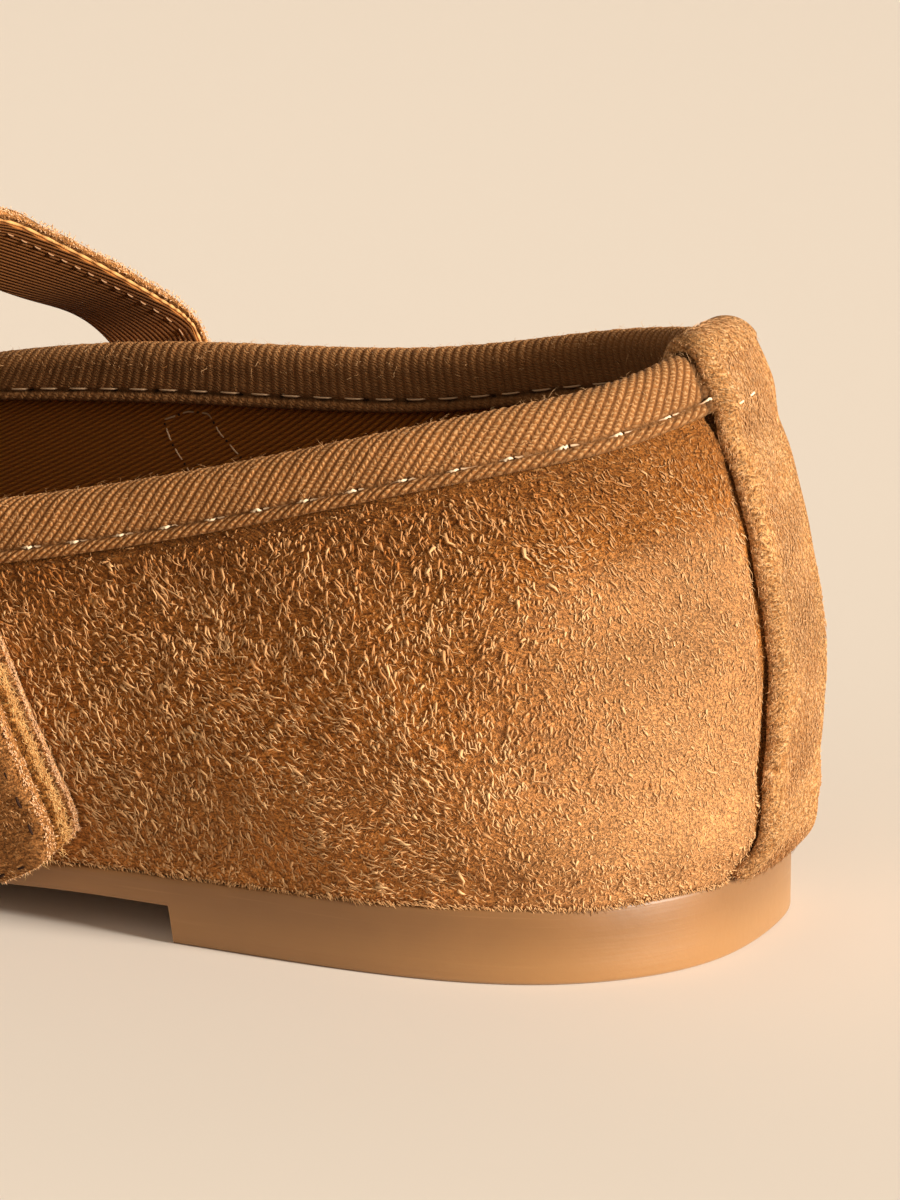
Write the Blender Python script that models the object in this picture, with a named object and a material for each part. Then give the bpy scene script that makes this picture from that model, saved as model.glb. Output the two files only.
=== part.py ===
"""Suede ballet flat with an instep strap, the left shoe of a pair.

Metres, +Z up, +X towards the toe, +Y towards the outer side of the foot.
The origin is on the floor, in the middle of the heel's underside.
Stations are distances along X from the back edge of the sole.
"""

import bpy
import bmesh
import numpy as np

MM = 0.001
TURN = 2.0 * np.pi
GAP = 0.3 * MM                    # room between two pieces that meet

# Sole
SOLE_LENGTH = 247.0 * MM
BALL_WIDTH = 81.0 * MM
HEEL_CENTRE = 27.0 * MM           # station of the origin
HEEL_LENGTH = 53.0 * MM           # back edge to the foot of the breast
BREAST_SLOPE = 0.6 * MM           # how far the breast leans forward over its height
THIN_SOLE = 3.1 * MM
HEEL_LIFT = 3.8 * MM              # underside of the thin sole above the floor at the breast
HEEL_PITCH = 0.4 * MM             # how much higher that underside lies at the back
ARCH_START = 60.0 * MM            # station where the thin sole starts down to the tread
TREAD_BACK = 146.0 * MM           # the forefoot is flat on the floor between these stations
TREAD_FRONT = 184.0 * MM
TOE_SPRING = 6.0 * MM
TOP_EDGE = 0.6 * MM               # rounding of the sole's upper edge
FOOT_EDGE = 0.5 * MM              # bevel of its lower edge

# Upper
WALL = 1.8 * MM                   # suede with its lining
FEATHER_INSET = 0.6 * MM          # upper's foot, in from the sole's edge
FULLNESS = 6.0 * MM               # measure of how far the sides swell
BACK_HEIGHT = 60.8 * MM           # floor to the edge of the upper at the back seam
OPENING_BACK = 4.6 * MM           # station of that edge
OPENING_LENGTH = 180.0 * MM

# Insole
INSOLE_THICKNESS = 1.5 * MM

# Binding and back strip
TAPE = 0.8 * MM
BINDING_WIDTH = 4.7 * MM          # each leg, down from the edge
STRIP_WIDTH = 11.5 * MM
STRIP_THICKNESS = 1.3 * MM
STRIP_INSIDE = 8.0 * MM           # how far it runs down inside the collar
STRIP_FOOT = 0.8 * MM             # its lower end above the sole's top edge
TAPE_MARGIN = 0.9 * MM            # what crosses the binding stands clear of it this far below
CLIMB = 2.0 * MM                  # and comes up from the upper over this length

# Strap and closure
STRAP_WIDTH = 12.0 * MM
STRAP_THICKNESS = 2.0 * MM
STRAP_LEAN = np.radians(23.0)     # from upright, top forward
STRAP_FOOT = 65.5 * MM            # station where the leaning plane of its middle meets the floor
STRAP_TIP = 8.6 * MM              # lowest point of the closed end, along the lean
STRAP_POINT = 4.5 * MM            # length of the rounded tip
TIP_TURNS = (8.0, 32.0, 60.0, 90.0)    # degrees round the tip, from its point to the sides
TIP_BLUNTNESS = 0.7               # 1 is an ellipse, less is squarer
SEWN_LENGTH = 21.0 * MM           # end sewn on outside the inner quarter, below the edge
PASS_EDGE = 1.2 * MM              # how far it follows the quarters past their edges
ARCH_RISE = 21.5 * MM             # free arch above the line between the two edges
PILE_THICKNESS = 1.4 * MM
PILE_MARGIN = 0.5 * MM            # beyond the strap's edge
BASE_THICKNESS = 0.9 * MM
BASE_MARGIN = 1.2 * MM
PATCH_LENGTH = 25.0 * MM          # both closure layers, up from the tip

# Fineness of the meshes
RING_STEPS = 80
PROFILE_STEPS = 12
ARCH_STEPS = 18
BAND_COLUMNS = 5                  # points across the strip and the strap
BREAST_ROOM = 2.0 * MM            # no other ring step lies this near the breast

# Half widths of the sole, as shares of BALL_WIDTH, at shares of SOLE_LENGTH.
SOLE_OUTLINE = (
    # station, outer, inner
    (0.000, 0.000, 0.000),
    (0.005, 0.132, 0.132),
    (0.020, 0.214, 0.214),
    (0.050, 0.282, 0.282),
    (0.100, 0.324, 0.322),
    (0.150, 0.332, 0.329),
    (0.250, 0.331, 0.318),
    (0.400, 0.352, 0.290),
    (0.550, 0.440, 0.365),
    (0.700, 0.512, 0.480),
    (0.790, 0.488, 0.486),
    (0.880, 0.400, 0.435),
    (0.950, 0.265, 0.320),
    (0.985, 0.130, 0.200),
    (1.000, -0.035, 0.035),
)

# The upper's edge round the opening, at shares of OPENING_LENGTH: half widths as shares of
# BALL_WIDTH, heights above the floor as shares of BACK_HEIGHT.
TOPLINE = (
    # station, outer, inner, outer height, inner height
    (0.000, 0.000, 0.000, 1.000, 1.000),
    (0.028, 0.175, 0.175, 0.955, 0.970),
    (0.067, 0.247, 0.247, 0.926, 0.947),
    (0.139, 0.310, 0.312, 0.874, 0.906),
    (0.250, 0.338, 0.334, 0.787, 0.853),
    (0.417, 0.365, 0.345, 0.685, 0.799),
    (0.580, 0.390, 0.350, 0.629, 0.740),
    (0.720, 0.392, 0.352, 0.600, 0.675),
    (0.850, 0.330, 0.312, 0.585, 0.620),
    (0.950, 0.205, 0.205, 0.578, 0.588),
    (1.000, -0.012, 0.012, 0.576, 0.576),
)

# Handles of the curve from the sole up to the edge, at shares of SOLE_LENGTH: outward parts as
# shares of FULLNESS, upward parts as shares of the height there, and the upper handle's reach
# back towards the sole's edge as a share of the distance.
PROFILE = (
    # station, low out, low up, reach, high out, high drop
    (0.000, 1.34, 0.24, 0.00, 1.42, 0.32),
    (0.050, 1.17, 0.25, 0.00, 1.12, 0.32),
    (0.150, 0.85, 0.27, 0.00, 0.60, 0.35),
    (0.350, 0.70, 0.30, 0.06, 0.32, 0.32),
    (0.550, 0.60, 0.34, 0.25, 0.26, 0.25),
    (0.750, 0.55, 0.40, 0.46, 0.20, 0.18),
    (1.000, 0.60, 0.44, 0.66, 0.00, 0.14),
)

# Free arch of the strap, from the inner quarter's edge to the outer one.
STRAP_ARCH = (
    # share of the way across, rise as a share of ARCH_RISE
    (0.00, 0.00),
    (0.05, 0.09),
    (0.12, 0.23),
    (0.21, 0.42),
    (0.31, 0.65),
    (0.43, 0.86),
    (0.57, 1.00),
    (0.71, 1.00),
    (0.83, 0.87),
    (0.92, 0.63),
    (0.98, 0.28),
    (1.00, 0.00),
)

# Colour (linear) and roughness of each finish
SUEDE = ((0.47, 0.22, 0.075), 0.95)
TWILL = ((0.36, 0.17, 0.06), 0.9)
RUBBER = ((0.33, 0.17, 0.07), 0.45)
LINING = ((0.16, 0.07, 0.025), 0.9)
FUZZ = ((0.52, 0.30, 0.09), 1.0)


def closed_spline(knots, values, at):
    """Cubic through values at knots round one full turn, smooth where it closes."""
    width = np.diff(np.append(knots, knots[0] + TURN))
    slope = np.diff(np.append(values, values[0])) / width
    before = np.roll(width, 1)
    row = np.arange(len(knots))
    after = (row + 1) % len(knots)
    system = np.zeros((len(knots), len(knots)))
    system[row, row] = 2.0 * (before + width)
    system[row, after] = width
    system[row, row - 1] = before
    bend = np.linalg.solve(system, 6.0 * (slope - np.roll(slope, 1)))
    turn = np.mod(at - knots[0], TURN) + knots[0]
    left = np.searchsorted(knots, turn, side="right") - 1
    right = after[left]
    t = turn - knots[left]
    first = slope[left] - width[left] * (2.0 * bend[left] + bend[right]) / 6.0
    third = (bend[right] - bend[left]) / (6.0 * width[left])
    return values[left] + t * first + t ** 2 * bend[left] / 2.0 + t ** 3 * third


def round_ring(stations, outer, inner, at):
    """Values given down both sides of the shoe, read at angles that start at the back seam.

    The angle runs along the outer side to the toe, half a turn on, and back along the inner side.
    A share s of the length lies where s = (1 - cos angle) / 2, so round ends come out smooth.
    """
    angle = np.arccos(1.0 - 2.0 * np.asarray(stations))
    knots = np.append(angle, TURN - angle[-2:0:-1])
    values = np.append(outer, np.asarray(inner)[-2:0:-1])
    return closed_spline(knots, values, at)


def side_columns(table, *places):
    """Named columns of a table as arrays, the station first."""
    columns = np.array(table).T
    return [columns[place] for place in (0,) + places]


def share_of_length(angle):
    return (1.0 - np.cos(angle)) / 2.0


def outline(angle):
    """Edge of the sole in plan."""
    station, outer, inner = side_columns(SOLE_OUTLINE, 1, 2)
    x = SOLE_LENGTH * share_of_length(angle)
    y = BALL_WIDTH * round_ring(station, outer, -inner, angle)
    return np.stack([x, y], axis=-1)


def outline_normal(angle):
    """Unit vector in plan, outwards from the sole's edge."""
    step = 1e-4
    along = outline(angle + step) - outline(angle - step)
    out = np.stack([-along[..., 1], along[..., 0]], axis=-1)
    return out / np.linalg.norm(out, axis=-1, keepdims=True)


def inset_outline(angle, inset):
    return outline(angle) - outline_normal(angle) * np.asarray(inset)[..., None]


def thin_underside(station):
    """Height of the thin sole's underside: level at the heel, down the arch, up at the toe."""
    down = np.clip((station - ARCH_START) / (TREAD_BACK - ARCH_START), 0.0, 1.0)
    rise = np.clip((station - TREAD_FRONT) / (SOLE_LENGTH - TREAD_FRONT), 0.0, 1.0)
    back = np.clip(1.0 - station / HEEL_LENGTH, 0.0, 1.0)
    arch = HEEL_LIFT * (1.0 - 3.0 * down ** 2 + 2.0 * down ** 3)
    return arch + HEEL_PITCH * back + TOE_SPRING * rise ** 2


def sole_top(station):
    return thin_underside(station) + THIN_SOLE


def feather_line(angle):
    """Foot of the upper's outside, on the sole just in from its edge."""
    plan = inset_outline(angle, np.full(np.shape(angle), FEATHER_INSET))
    height = sole_top(SOLE_LENGTH * share_of_length(angle)) + GAP
    return np.concatenate([plan, height[..., None]], axis=-1)


def topline(angle):
    """Edge of the upper round the opening."""
    station, outer, inner, outer_height, inner_height = side_columns(TOPLINE, 1, 2, 3, 4)
    x = OPENING_BACK + OPENING_LENGTH * share_of_length(angle)
    y = BALL_WIDTH * round_ring(station, outer, -inner, angle)
    z = BACK_HEIGHT * round_ring(station, outer_height, inner_height, angle)
    return np.stack([x, y, z], axis=-1)


def upper_surface(angle, t):
    """Outside of the upper: a cubic curve from the feather line, t = 0, to the topline, t = 1."""
    angle, t = np.broadcast_arrays(angle, t)
    station, *columns = side_columns(PROFILE, 1, 2, 3, 4, 5)
    low_out, low_up, reach, high_out, high_drop = (
        round_ring(station, column, column, angle)[..., None] for column in columns)
    low = feather_line(angle)
    high = topline(angle)
    height = (high - low)[..., 2:]
    out = np.concatenate([outline_normal(angle), np.zeros(angle.shape + (1,))], axis=-1)
    up = np.array([0.0, 0.0, 1.0])
    flat = np.array([1.0, 1.0, 0.0])
    low_handle = low + out * low_out * FULLNESS + up * low_up * height
    high_handle = (high + reach * (low - high) * flat + out * high_out * FULLNESS
                   - up * high_drop * height)
    s = t[..., None]
    return ((1 - s) ** 3 * low + 3 * (1 - s) ** 2 * s * low_handle
            + 3 * (1 - s) * s ** 2 * high_handle + s ** 3 * high)


def surface_directions(angle, t):
    """Directions of the surface for growing angle and growing t."""
    step = 1e-4
    round_way = upper_surface(angle + step, t) - upper_surface(angle - step, t)
    up_way = upper_surface(angle, t + step) - upper_surface(angle, t - step)
    return round_way / (2 * step), up_way / (2 * step)


def off_surface(angle, t, offset):
    """Point at a distance outwards from the upper's outside."""
    round_way, up_way = surface_directions(angle, t)
    out = np.cross(up_way, round_way)
    out = out / np.linalg.norm(out, axis=-1, keepdims=True)
    return upper_surface(angle, t) + out * np.asarray(offset)[..., None]


def below_edge(angle, distance):
    """The t of a point this far down from the topline."""
    _, up_way = surface_directions(angle, np.ones_like(angle))
    return 1.0 - distance / np.linalg.norm(up_way, axis=-1)


def over_edge(angle, turn, radius):
    """Point on a half round over the upper's edge; turn goes from outside, 0, to inside, pi."""
    round_way, up_way = surface_directions(angle, np.ones_like(angle))
    out = np.cross(up_way, round_way)
    out = out / np.linalg.norm(out, axis=-1, keepdims=True)
    up = up_way / np.linalg.norm(up_way, axis=-1, keepdims=True)
    middle = off_surface(angle, np.ones_like(angle), np.full_like(angle, -WALL / 2.0))
    return middle + radius * (np.cos(turn) * out + np.sin(turn) * up)


def find_on_surface(x, z, outer_side=True):
    """Angle and t of the points of one side that have these stations and heights."""
    share = np.clip(x / SOLE_LENGTH, 0.0, 1.0)
    angle = np.arccos(1.0 - 2.0 * share)
    if not outer_side:
        angle = TURN - angle
    t = (z - sole_top(x)) / BACK_HEIGHT
    for _ in range(12):
        miss = upper_surface(angle, t) - np.stack([x, np.zeros_like(x), z], axis=-1)
        round_way, up_way = surface_directions(angle, t)
        size = round_way[..., 0] * up_way[..., 2] - round_way[..., 2] * up_way[..., 0]
        angle = angle - (miss[..., 0] * up_way[..., 2] - miss[..., 2] * up_way[..., 0]) / size
        t = t - (round_way[..., 0] * miss[..., 2] - round_way[..., 2] * miss[..., 0]) / size
    return angle, t


def ring_angles(steps=RING_STEPS):
    return np.arange(steps) * TURN / steps


def add_piece(name, points, faces, finish):
    """One closed mesh object, placed so that the heel's middle is the origin."""
    placed = points - np.array([HEEL_CENTRE, 0.0, 0.0])
    mesh = bpy.data.meshes.new(name)
    mesh.from_pydata(placed.tolist(), [], faces)
    shape = bmesh.new()
    shape.from_mesh(mesh)
    bmesh.ops.recalc_face_normals(shape, faces=shape.faces)
    bmesh.ops.triangulate(shape, faces=shape.faces)
    shape.to_mesh(mesh)
    shape.free()
    mesh.shade_smooth()
    colour, roughness = finish
    material = bpy.data.materials.new(name + "_finish")
    material.use_nodes = True
    shader = material.node_tree.nodes["Principled BSDF"]
    shader.inputs["Base Color"].default_value = (*colour, 1.0)
    shader.inputs["Roughness"].default_value = roughness
    mesh.materials.append(material)
    piece = bpy.data.objects.new(name, mesh)
    bpy.context.scene.collection.objects.link(piece)
    return piece


def grid_faces(rows, columns, rows_close, columns_close):
    """Quads of a grid of points numbered row by row."""
    faces = []
    for row in range(rows if rows_close else rows - 1):
        for column in range(columns if columns_close else columns - 1):
            next_row = (row + 1) % rows
            next_column = (column + 1) % columns
            faces.append((row * columns + column, row * columns + next_column,
                          next_row * columns + next_column, next_row * columns + column))
    return faces


def add_hoop(name, sections, finish):
    """A closed section carried all round a closed ring; sections has ring, section, xyz."""
    rings, corners, _ = sections.shape
    faces = grid_faces(rings, corners, True, True)
    return add_piece(name, sections.reshape(-1, 3), faces, finish)


def add_slab(name, rings, finish):
    """Rings one above the other, closed by strips that join the shoe's two sides."""
    levels, steps, _ = rings.shape
    faces = grid_faces(levels, steps, False, True)
    for first in (0, (levels - 1) * steps):
        for step in range(steps // 2):
            across = [first + step, first + step + 1,
                      first + steps - step - 1, first + (steps - step) % steps]
            faces.append(tuple(dict.fromkeys(across)))
    return add_piece(name, rings.reshape(-1, 3), faces, finish)


def add_band(name, under, over, finish):
    """A flat band between an under and an over face, each with row, column, xyz."""
    rows, columns, _ = under.shape
    sections = np.concatenate([under, over[:, ::-1]], axis=1)
    corners = 2 * columns
    faces = grid_faces(rows, corners, False, True)
    for first in (0, (rows - 1) * corners):
        for column in range(columns - 1):
            faces.append((first + column, first + column + 1,
                          first + corners - column - 2, first + corners - column - 1))
    return add_piece(name, sections.reshape(-1, 3), faces, finish)


def make_outsole():
    """Thin sole and heel block, moulded in one, with the breast across the middle."""
    breast = np.array([HEEL_LENGTH, HEEL_LENGTH + BREAST_SLOPE])
    half = np.arange(RING_STEPS // 2 + 1) * TURN / RING_STEPS
    clear = np.abs(SOLE_LENGTH * share_of_length(half) - breast.mean()) > BREAST_ROOM
    half = np.sort(np.append(half[clear], np.arccos(1.0 - 2.0 * breast / SOLE_LENGTH)))
    angle = np.append(half, TURN - half[-2:0:-1])
    station = SOLE_LENGTH * share_of_length(angle)
    on_heel = station < breast.mean()
    top = sole_top(station)
    foot = np.where(on_heel, 0.0, thin_underside(station))
    levels = ((TOP_EDGE, top), (0.0, top - TOP_EDGE), (0.0, foot + FOOT_EDGE), (FOOT_EDGE, foot))
    rings = []
    for inset, height in levels:
        plan = inset_outline(angle, np.full_like(angle, inset))
        plan[..., 0] = np.where(np.abs(station - breast.mean()) < MM, station, plan[..., 0])
        rings.append(np.concatenate([plan, height[:, None]], axis=-1))
    return add_slab("outsole", np.array(rings), RUBBER)


def make_insole():
    """Sock on the sole, inside the foot of the upper."""
    angle = ring_angles()
    inset = FEATHER_INSET + WALL + 2.0 * GAP
    plan = inset_outline(angle, np.full_like(angle, inset))
    height = sole_top(plan[:, 0]) + GAP
    rings = [np.concatenate([plan, (height + rise)[:, None]], axis=-1)
             for rise in (INSOLE_THICKNESS, 0.0)]
    return add_slab("insole", np.array(rings), LINING)


def make_upper():
    """Hollow shell: the outside up to the edge, and the inside a wall's thickness in."""
    angle = ring_angles()[:, None]
    t = np.linspace(0.0, 1.0, PROFILE_STEPS + 1)[None, :]
    angle, t = np.broadcast_arrays(angle, t)
    outside = upper_surface(angle, t)
    inside = off_surface(angle, t, np.full(angle.shape, -WALL))
    return add_hoop("upper", np.concatenate([outside, inside[:, ::-1]], axis=1), SUEDE)


def edge_section(angle, drops, clear, inside_drops):
    """Open line round the edge: up the outside at a clearance, over, and down the inside."""
    outside = [off_surface(angle, below_edge(angle, drop), np.full_like(angle, clear))
               for drop in drops]
    turns = np.pi * np.array([1.0, 2.0]) / 3.0
    top = [over_edge(angle, turn, WALL / 2.0 + clear) for turn in turns]
    inside = [off_surface(angle, below_edge(angle, drop), np.full_like(angle, -WALL - clear))
              for drop in inside_drops]
    return np.stack(outside + top + inside, axis=1)


def make_binding():
    """Tape folded over the edge all round the opening."""
    angle = ring_angles()
    drops = BINDING_WIDTH * np.array([1.0, 0.5, 0.0])
    under = edge_section(angle, drops, GAP, drops[::-1])
    over = edge_section(angle, drops, GAP + TAPE, drops[::-1])
    sections = np.concatenate([under, over[:, ::-1]], axis=1)
    return add_hoop("topline_binding", sections, TWILL)


def angle_across_back(t, y):
    """Angles near the back seam where the surface at t has these distances from the middle."""
    near = np.linspace(-STRIP_WIDTH, STRIP_WIDTH, RING_STEPS) / BALL_WIDTH * np.pi
    return np.interp(y, upper_surface(near, np.full_like(near, t))[:, 1], near)


def strip_face(clear_low, clear_high):
    """One face of the back strip, from its foot outside to its end inside the collar."""
    y = STRIP_WIDTH * np.linspace(-0.5, 0.5, BAND_COLUMNS)
    top_angle = angle_across_back(1.0, y)
    foot = STRIP_FOOT / (BACK_HEIGHT - sole_top(0.0))
    tape_foot = BINDING_WIDTH + TAPE_MARGIN
    climb_foot, climb_top = below_edge(np.zeros(2), np.array([tape_foot + CLIMB, tape_foot]))
    low = [(t, clear_low) for t in np.linspace(foot, climb_foot, 9)]
    high = [(t, clear_high) for t in np.linspace(climb_top, 1.0, 3)]
    rows = []
    for t, clear in low + high:
        angle = angle_across_back(t, y)
        rows.append(off_surface(angle, np.full_like(y, t), np.full_like(y, clear)))
    for turn in np.pi * np.array([1.0, 2.0, 3.0]) / 4.0:
        rows.append(over_edge(top_angle, turn, WALL / 2.0 + clear_high))
    for drop in STRIP_INSIDE * np.array([0.0, 0.5, 1.0]):
        t = below_edge(top_angle, drop)
        rows.append(off_surface(top_angle, t, np.full_like(y, -WALL - clear_high)))
    return np.array(rows)


def make_back_strip():
    """Suede strip up the back seam and over the binding at the collar."""
    over_tape = GAP + TAPE + GAP
    under = strip_face(GAP, over_tape)
    over = strip_face(GAP + STRIP_THICKNESS, over_tape + STRIP_THICKNESS)
    return add_band("back_strip", under, over, SUEDE)


def strap_place(height, across):
    """Station and height of a point of the strap's leaning plane."""
    x = STRAP_FOOT + height * np.sin(STRAP_LEAN) + across * np.cos(STRAP_LEAN)
    z = height * np.cos(STRAP_LEAN) - across * np.sin(STRAP_LEAN)
    return x, z


def quarter_rows(heights, half_widths, offset, outer_side):
    """Rows of points across the strap on one quarter, at a distance from its outside."""
    across = np.linspace(-1.0, 1.0, BAND_COLUMNS)[None, :] * half_widths[:, None]
    x, z = strap_place(heights[:, None], across)
    angle, t = find_on_surface(x, z, outer_side)
    return off_surface(angle, t, np.broadcast_to(offset, angle.shape))


def edge_heights(outer_side):
    """Lowest and highest place of the topline along the lean, within the strap's width."""
    angle = np.linspace(0.0, np.pi, 4 * RING_STEPS)
    if not outer_side:
        angle = TURN - angle
    edge = topline(angle)
    x = edge[:, 0] - STRAP_FOOT
    height = x * np.sin(STRAP_LEAN) + edge[:, 2] * np.cos(STRAP_LEAN)
    across = x * np.cos(STRAP_LEAN) - edge[:, 2] * np.sin(STRAP_LEAN)
    met = height[np.abs(across) < STRAP_WIDTH / 2.0]
    return met.min(), met.max()


def tip_rows(margin):
    """Heights and half widths of the rounded tip, from the point up to the full width."""
    turn = np.radians(TIP_TURNS)
    half = STRAP_WIDTH / 2.0 + margin
    heights = STRAP_TIP + STRAP_POINT * (1.0 - np.cos(turn))
    return heights, half * np.sin(turn) ** TIP_BLUNTNESS


def band_normals(rows):
    """Unit normals of a grid of points, away from the foot."""
    along = np.gradient(rows, axis=0)
    across = np.gradient(rows, axis=1)
    out = np.cross(across, along)
    return out / np.linalg.norm(out, axis=-1, keepdims=True)


def make_strap():
    """Instep strap: sewn end on the inner quarter, free arch, closed end on the outer quarter."""
    half = STRAP_WIDTH / 2.0
    over_tape = GAP + TAPE + GAP
    lowest, highest = edge_heights(False)
    tape_foot = lowest - BINDING_WIDTH - TAPE_MARGIN
    low = np.linspace(highest - SEWN_LENGTH, tape_foot - CLIMB, 3)
    high = np.linspace(tape_foot, highest + PASS_EDGE, 5)
    inner = np.concatenate([
        quarter_rows(low, np.full_like(low, half), GAP, False),
        quarter_rows(high, np.full_like(high, half), over_tape, False)])
    outer_top = edge_heights(True)[1] + PASS_EDGE
    stack = GAP + BASE_THICKNESS + GAP + PILE_THICKNESS + GAP
    tip_heights, tip_halves = tip_rows(0.0)
    straight = np.linspace(tip_heights[-1], outer_top, 6)[1:]
    heights = np.append(tip_heights, straight)
    halves = np.append(tip_halves, np.full_like(straight, half))
    outer = quarter_rows(heights, halves, stack, True)[::-1]
    lean_up = np.array([np.sin(STRAP_LEAN), 0.0, np.cos(STRAP_LEAN)])
    across, rise = side_columns(STRAP_ARCH, 1)
    turn = np.linspace(0.0, np.pi, ARCH_STEPS + 1)[1:-1]
    way = share_of_length(turn)[:, None, None]
    lift = ARCH_RISE * round_ring(across, rise, -rise, turn)[:, None, None]
    arch = inner[-1] + way * (outer[0] - inner[-1]) + lift * lean_up
    under = np.concatenate([inner, arch, outer])
    over = under + band_normals(under) * STRAP_THICKNESS
    return add_band("strap", under, over, SUEDE)


def make_closure_layer(name, thickness, margin, clear, finish):
    """One layer of the closure between the strap's end and the outer quarter."""
    heights, halves = tip_rows(margin)
    straight = np.linspace(heights[-1], STRAP_TIP + PATCH_LENGTH, 5)[1:]
    heights = np.append(heights, straight)
    halves = np.append(halves, np.full_like(straight, STRAP_WIDTH / 2.0 + margin))
    under = quarter_rows(heights, halves, clear, True)
    over = quarter_rows(heights, halves, clear + thickness, True)
    return add_band(name, under, over, finish)


def build_shoe():
    for old in list(bpy.data.objects):
        bpy.data.objects.remove(old, do_unlink=True)
    make_outsole()
    make_insole()
    make_upper()
    make_binding()
    make_back_strip()
    make_closure_layer("closure_base", BASE_THICKNESS, BASE_MARGIN, GAP, TWILL)
    make_closure_layer("closure_pile", PILE_THICKNESS, PILE_MARGIN,
                       GAP + BASE_THICKNESS + GAP, FUZZ)
    make_strap()


build_shoe()
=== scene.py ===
# %% [markdown]
# # A suede ballet flat with an instep strap
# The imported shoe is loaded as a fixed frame, and every finished piece is laid on it.
# All sizes are real ones, in metres, so a stitch of 5 mm is 5 mm here too.

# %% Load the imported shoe
import bpy
import numpy as np
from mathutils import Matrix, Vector


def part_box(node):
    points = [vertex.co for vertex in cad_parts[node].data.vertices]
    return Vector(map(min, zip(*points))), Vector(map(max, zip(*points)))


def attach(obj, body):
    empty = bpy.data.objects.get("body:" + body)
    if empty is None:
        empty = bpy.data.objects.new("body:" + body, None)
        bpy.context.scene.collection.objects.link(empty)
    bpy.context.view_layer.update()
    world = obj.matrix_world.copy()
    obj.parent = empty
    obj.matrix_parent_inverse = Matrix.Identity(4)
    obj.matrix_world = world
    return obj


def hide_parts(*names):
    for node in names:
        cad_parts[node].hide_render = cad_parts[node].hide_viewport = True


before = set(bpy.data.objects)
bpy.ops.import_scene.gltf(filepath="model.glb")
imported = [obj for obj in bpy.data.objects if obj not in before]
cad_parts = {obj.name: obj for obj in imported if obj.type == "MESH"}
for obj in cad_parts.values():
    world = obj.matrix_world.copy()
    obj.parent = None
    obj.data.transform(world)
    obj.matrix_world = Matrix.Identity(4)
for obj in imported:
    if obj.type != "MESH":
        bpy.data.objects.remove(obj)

MM = 0.001
TURN = 2.0 * np.pi
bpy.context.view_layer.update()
print("pieces in the frame:", ", ".join(sorted(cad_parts)))

# %% [markdown]
# ## The shape of the last
# A shoe is drawn round a last. Its edge lines are known at a few stations along its length, and a
# smooth closed curve runs through them. It could be sculpted or lofted by hand, but a formula can
# be read as finely as cloth and suede need, and each later piece can ask it for a place and for
# the direction that points outwards there. The frame's own pieces follow the same rule.

# %% Main sizes
sole_low, sole_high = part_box("outsole")
SOLE_LENGTH = sole_high[0] - sole_low[0]
HEEL_CENTRE = -sole_low[0]        # the origin's distance from the sole's back edge
BACK_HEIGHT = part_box("upper")[1][2]
BALL_WIDTH = 81.0 * MM
GAP = 0.3 * MM                    # between pieces that lie on each other
HEEL_LENGTH = 53.0 * MM           # of the heel block
BREAST_SLOPE = 0.6 * MM           # its front face leans forward by this
THIN_SOLE = 3.1 * MM              # the sole in front of the heel block
HEEL_LIFT = 3.8 * MM              # height of the thin sole's underside over the heel
HEEL_PITCH = 1.4 * MM             # how much higher that underside lies at the back
ARCH_START = 60.0 * MM
TREAD_BACK = 146.0 * MM           # the tread lies flat on the floor from here
TREAD_FRONT = 184.0 * MM          # to here
TOE_SPRING = 6.0 * MM
WALL = 1.8 * MM                   # suede and lining together
FEATHER_INSET = 0.6 * MM          # the upper's foot stands in from the sole's edge by this
FULLNESS = 6.0 * MM               # the size that the profile's outward shares are of
OPENING_BACK = 4.6 * MM
OPENING_LENGTH = 180.0 * MM
BINDING_WIDTH = 4.7 * MM
TAPE = 0.8 * MM                   # thickness of the binding's tape
print("sole %.1f mm long, back %.1f mm high" % (SOLE_LENGTH / MM, BACK_HEIGHT / MM))

# %% Lines of the last
SOLE_OUTLINE = (
    # station, outer, inner
    (0.000, 0.000, 0.000),
    (0.005, 0.114, 0.142),
    (0.020, 0.202, 0.224),
    (0.050, 0.284, 0.288),
    (0.100, 0.332, 0.322),
    (0.150, 0.340, 0.329),
    (0.250, 0.331, 0.318),
    (0.400, 0.352, 0.290),
    (0.550, 0.440, 0.365),
    (0.700, 0.512, 0.480),
    (0.790, 0.488, 0.486),
    (0.880, 0.400, 0.435),
    (0.950, 0.265, 0.320),
    (0.985, 0.130, 0.200),
    (1.000, -0.035, 0.035),
)
TOPLINE = (
    # station, outer, inner, outer height, inner height
    (0.000, 0.000, 0.000, 1.000, 1.000),
    (0.028, 0.175, 0.175, 0.955, 0.970),
    (0.067, 0.247, 0.247, 0.926, 0.947),
    (0.139, 0.310, 0.312, 0.874, 0.906),
    (0.250, 0.338, 0.334, 0.787, 0.844),
    (0.417, 0.365, 0.345, 0.685, 0.809),
    (0.580, 0.390, 0.350, 0.629, 0.755),
    (0.720, 0.392, 0.352, 0.600, 0.675),
    (0.850, 0.330, 0.312, 0.585, 0.620),
    (0.950, 0.205, 0.205, 0.578, 0.588),
    (1.000, -0.012, 0.012, 0.576, 0.576),
)
PROFILE = (
    # station, low out, low up, reach, high out, high drop
    (0.000, 1.34, 0.24, 0.00, 1.42, 0.32),
    (0.050, 1.17, 0.25, 0.00, 1.12, 0.32),
    (0.150, 0.85, 0.27, 0.00, 0.60, 0.35),
    (0.350, 0.70, 0.30, 0.06, 0.32, 0.32),
    (0.550, 0.60, 0.34, 0.25, 0.26, 0.25),
    (0.750, 0.55, 0.40, 0.46, 0.20, 0.18),
    (1.000, 0.60, 0.44, 0.66, 0.00, 0.14),
)


# %% A smooth closed curve through given values


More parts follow.
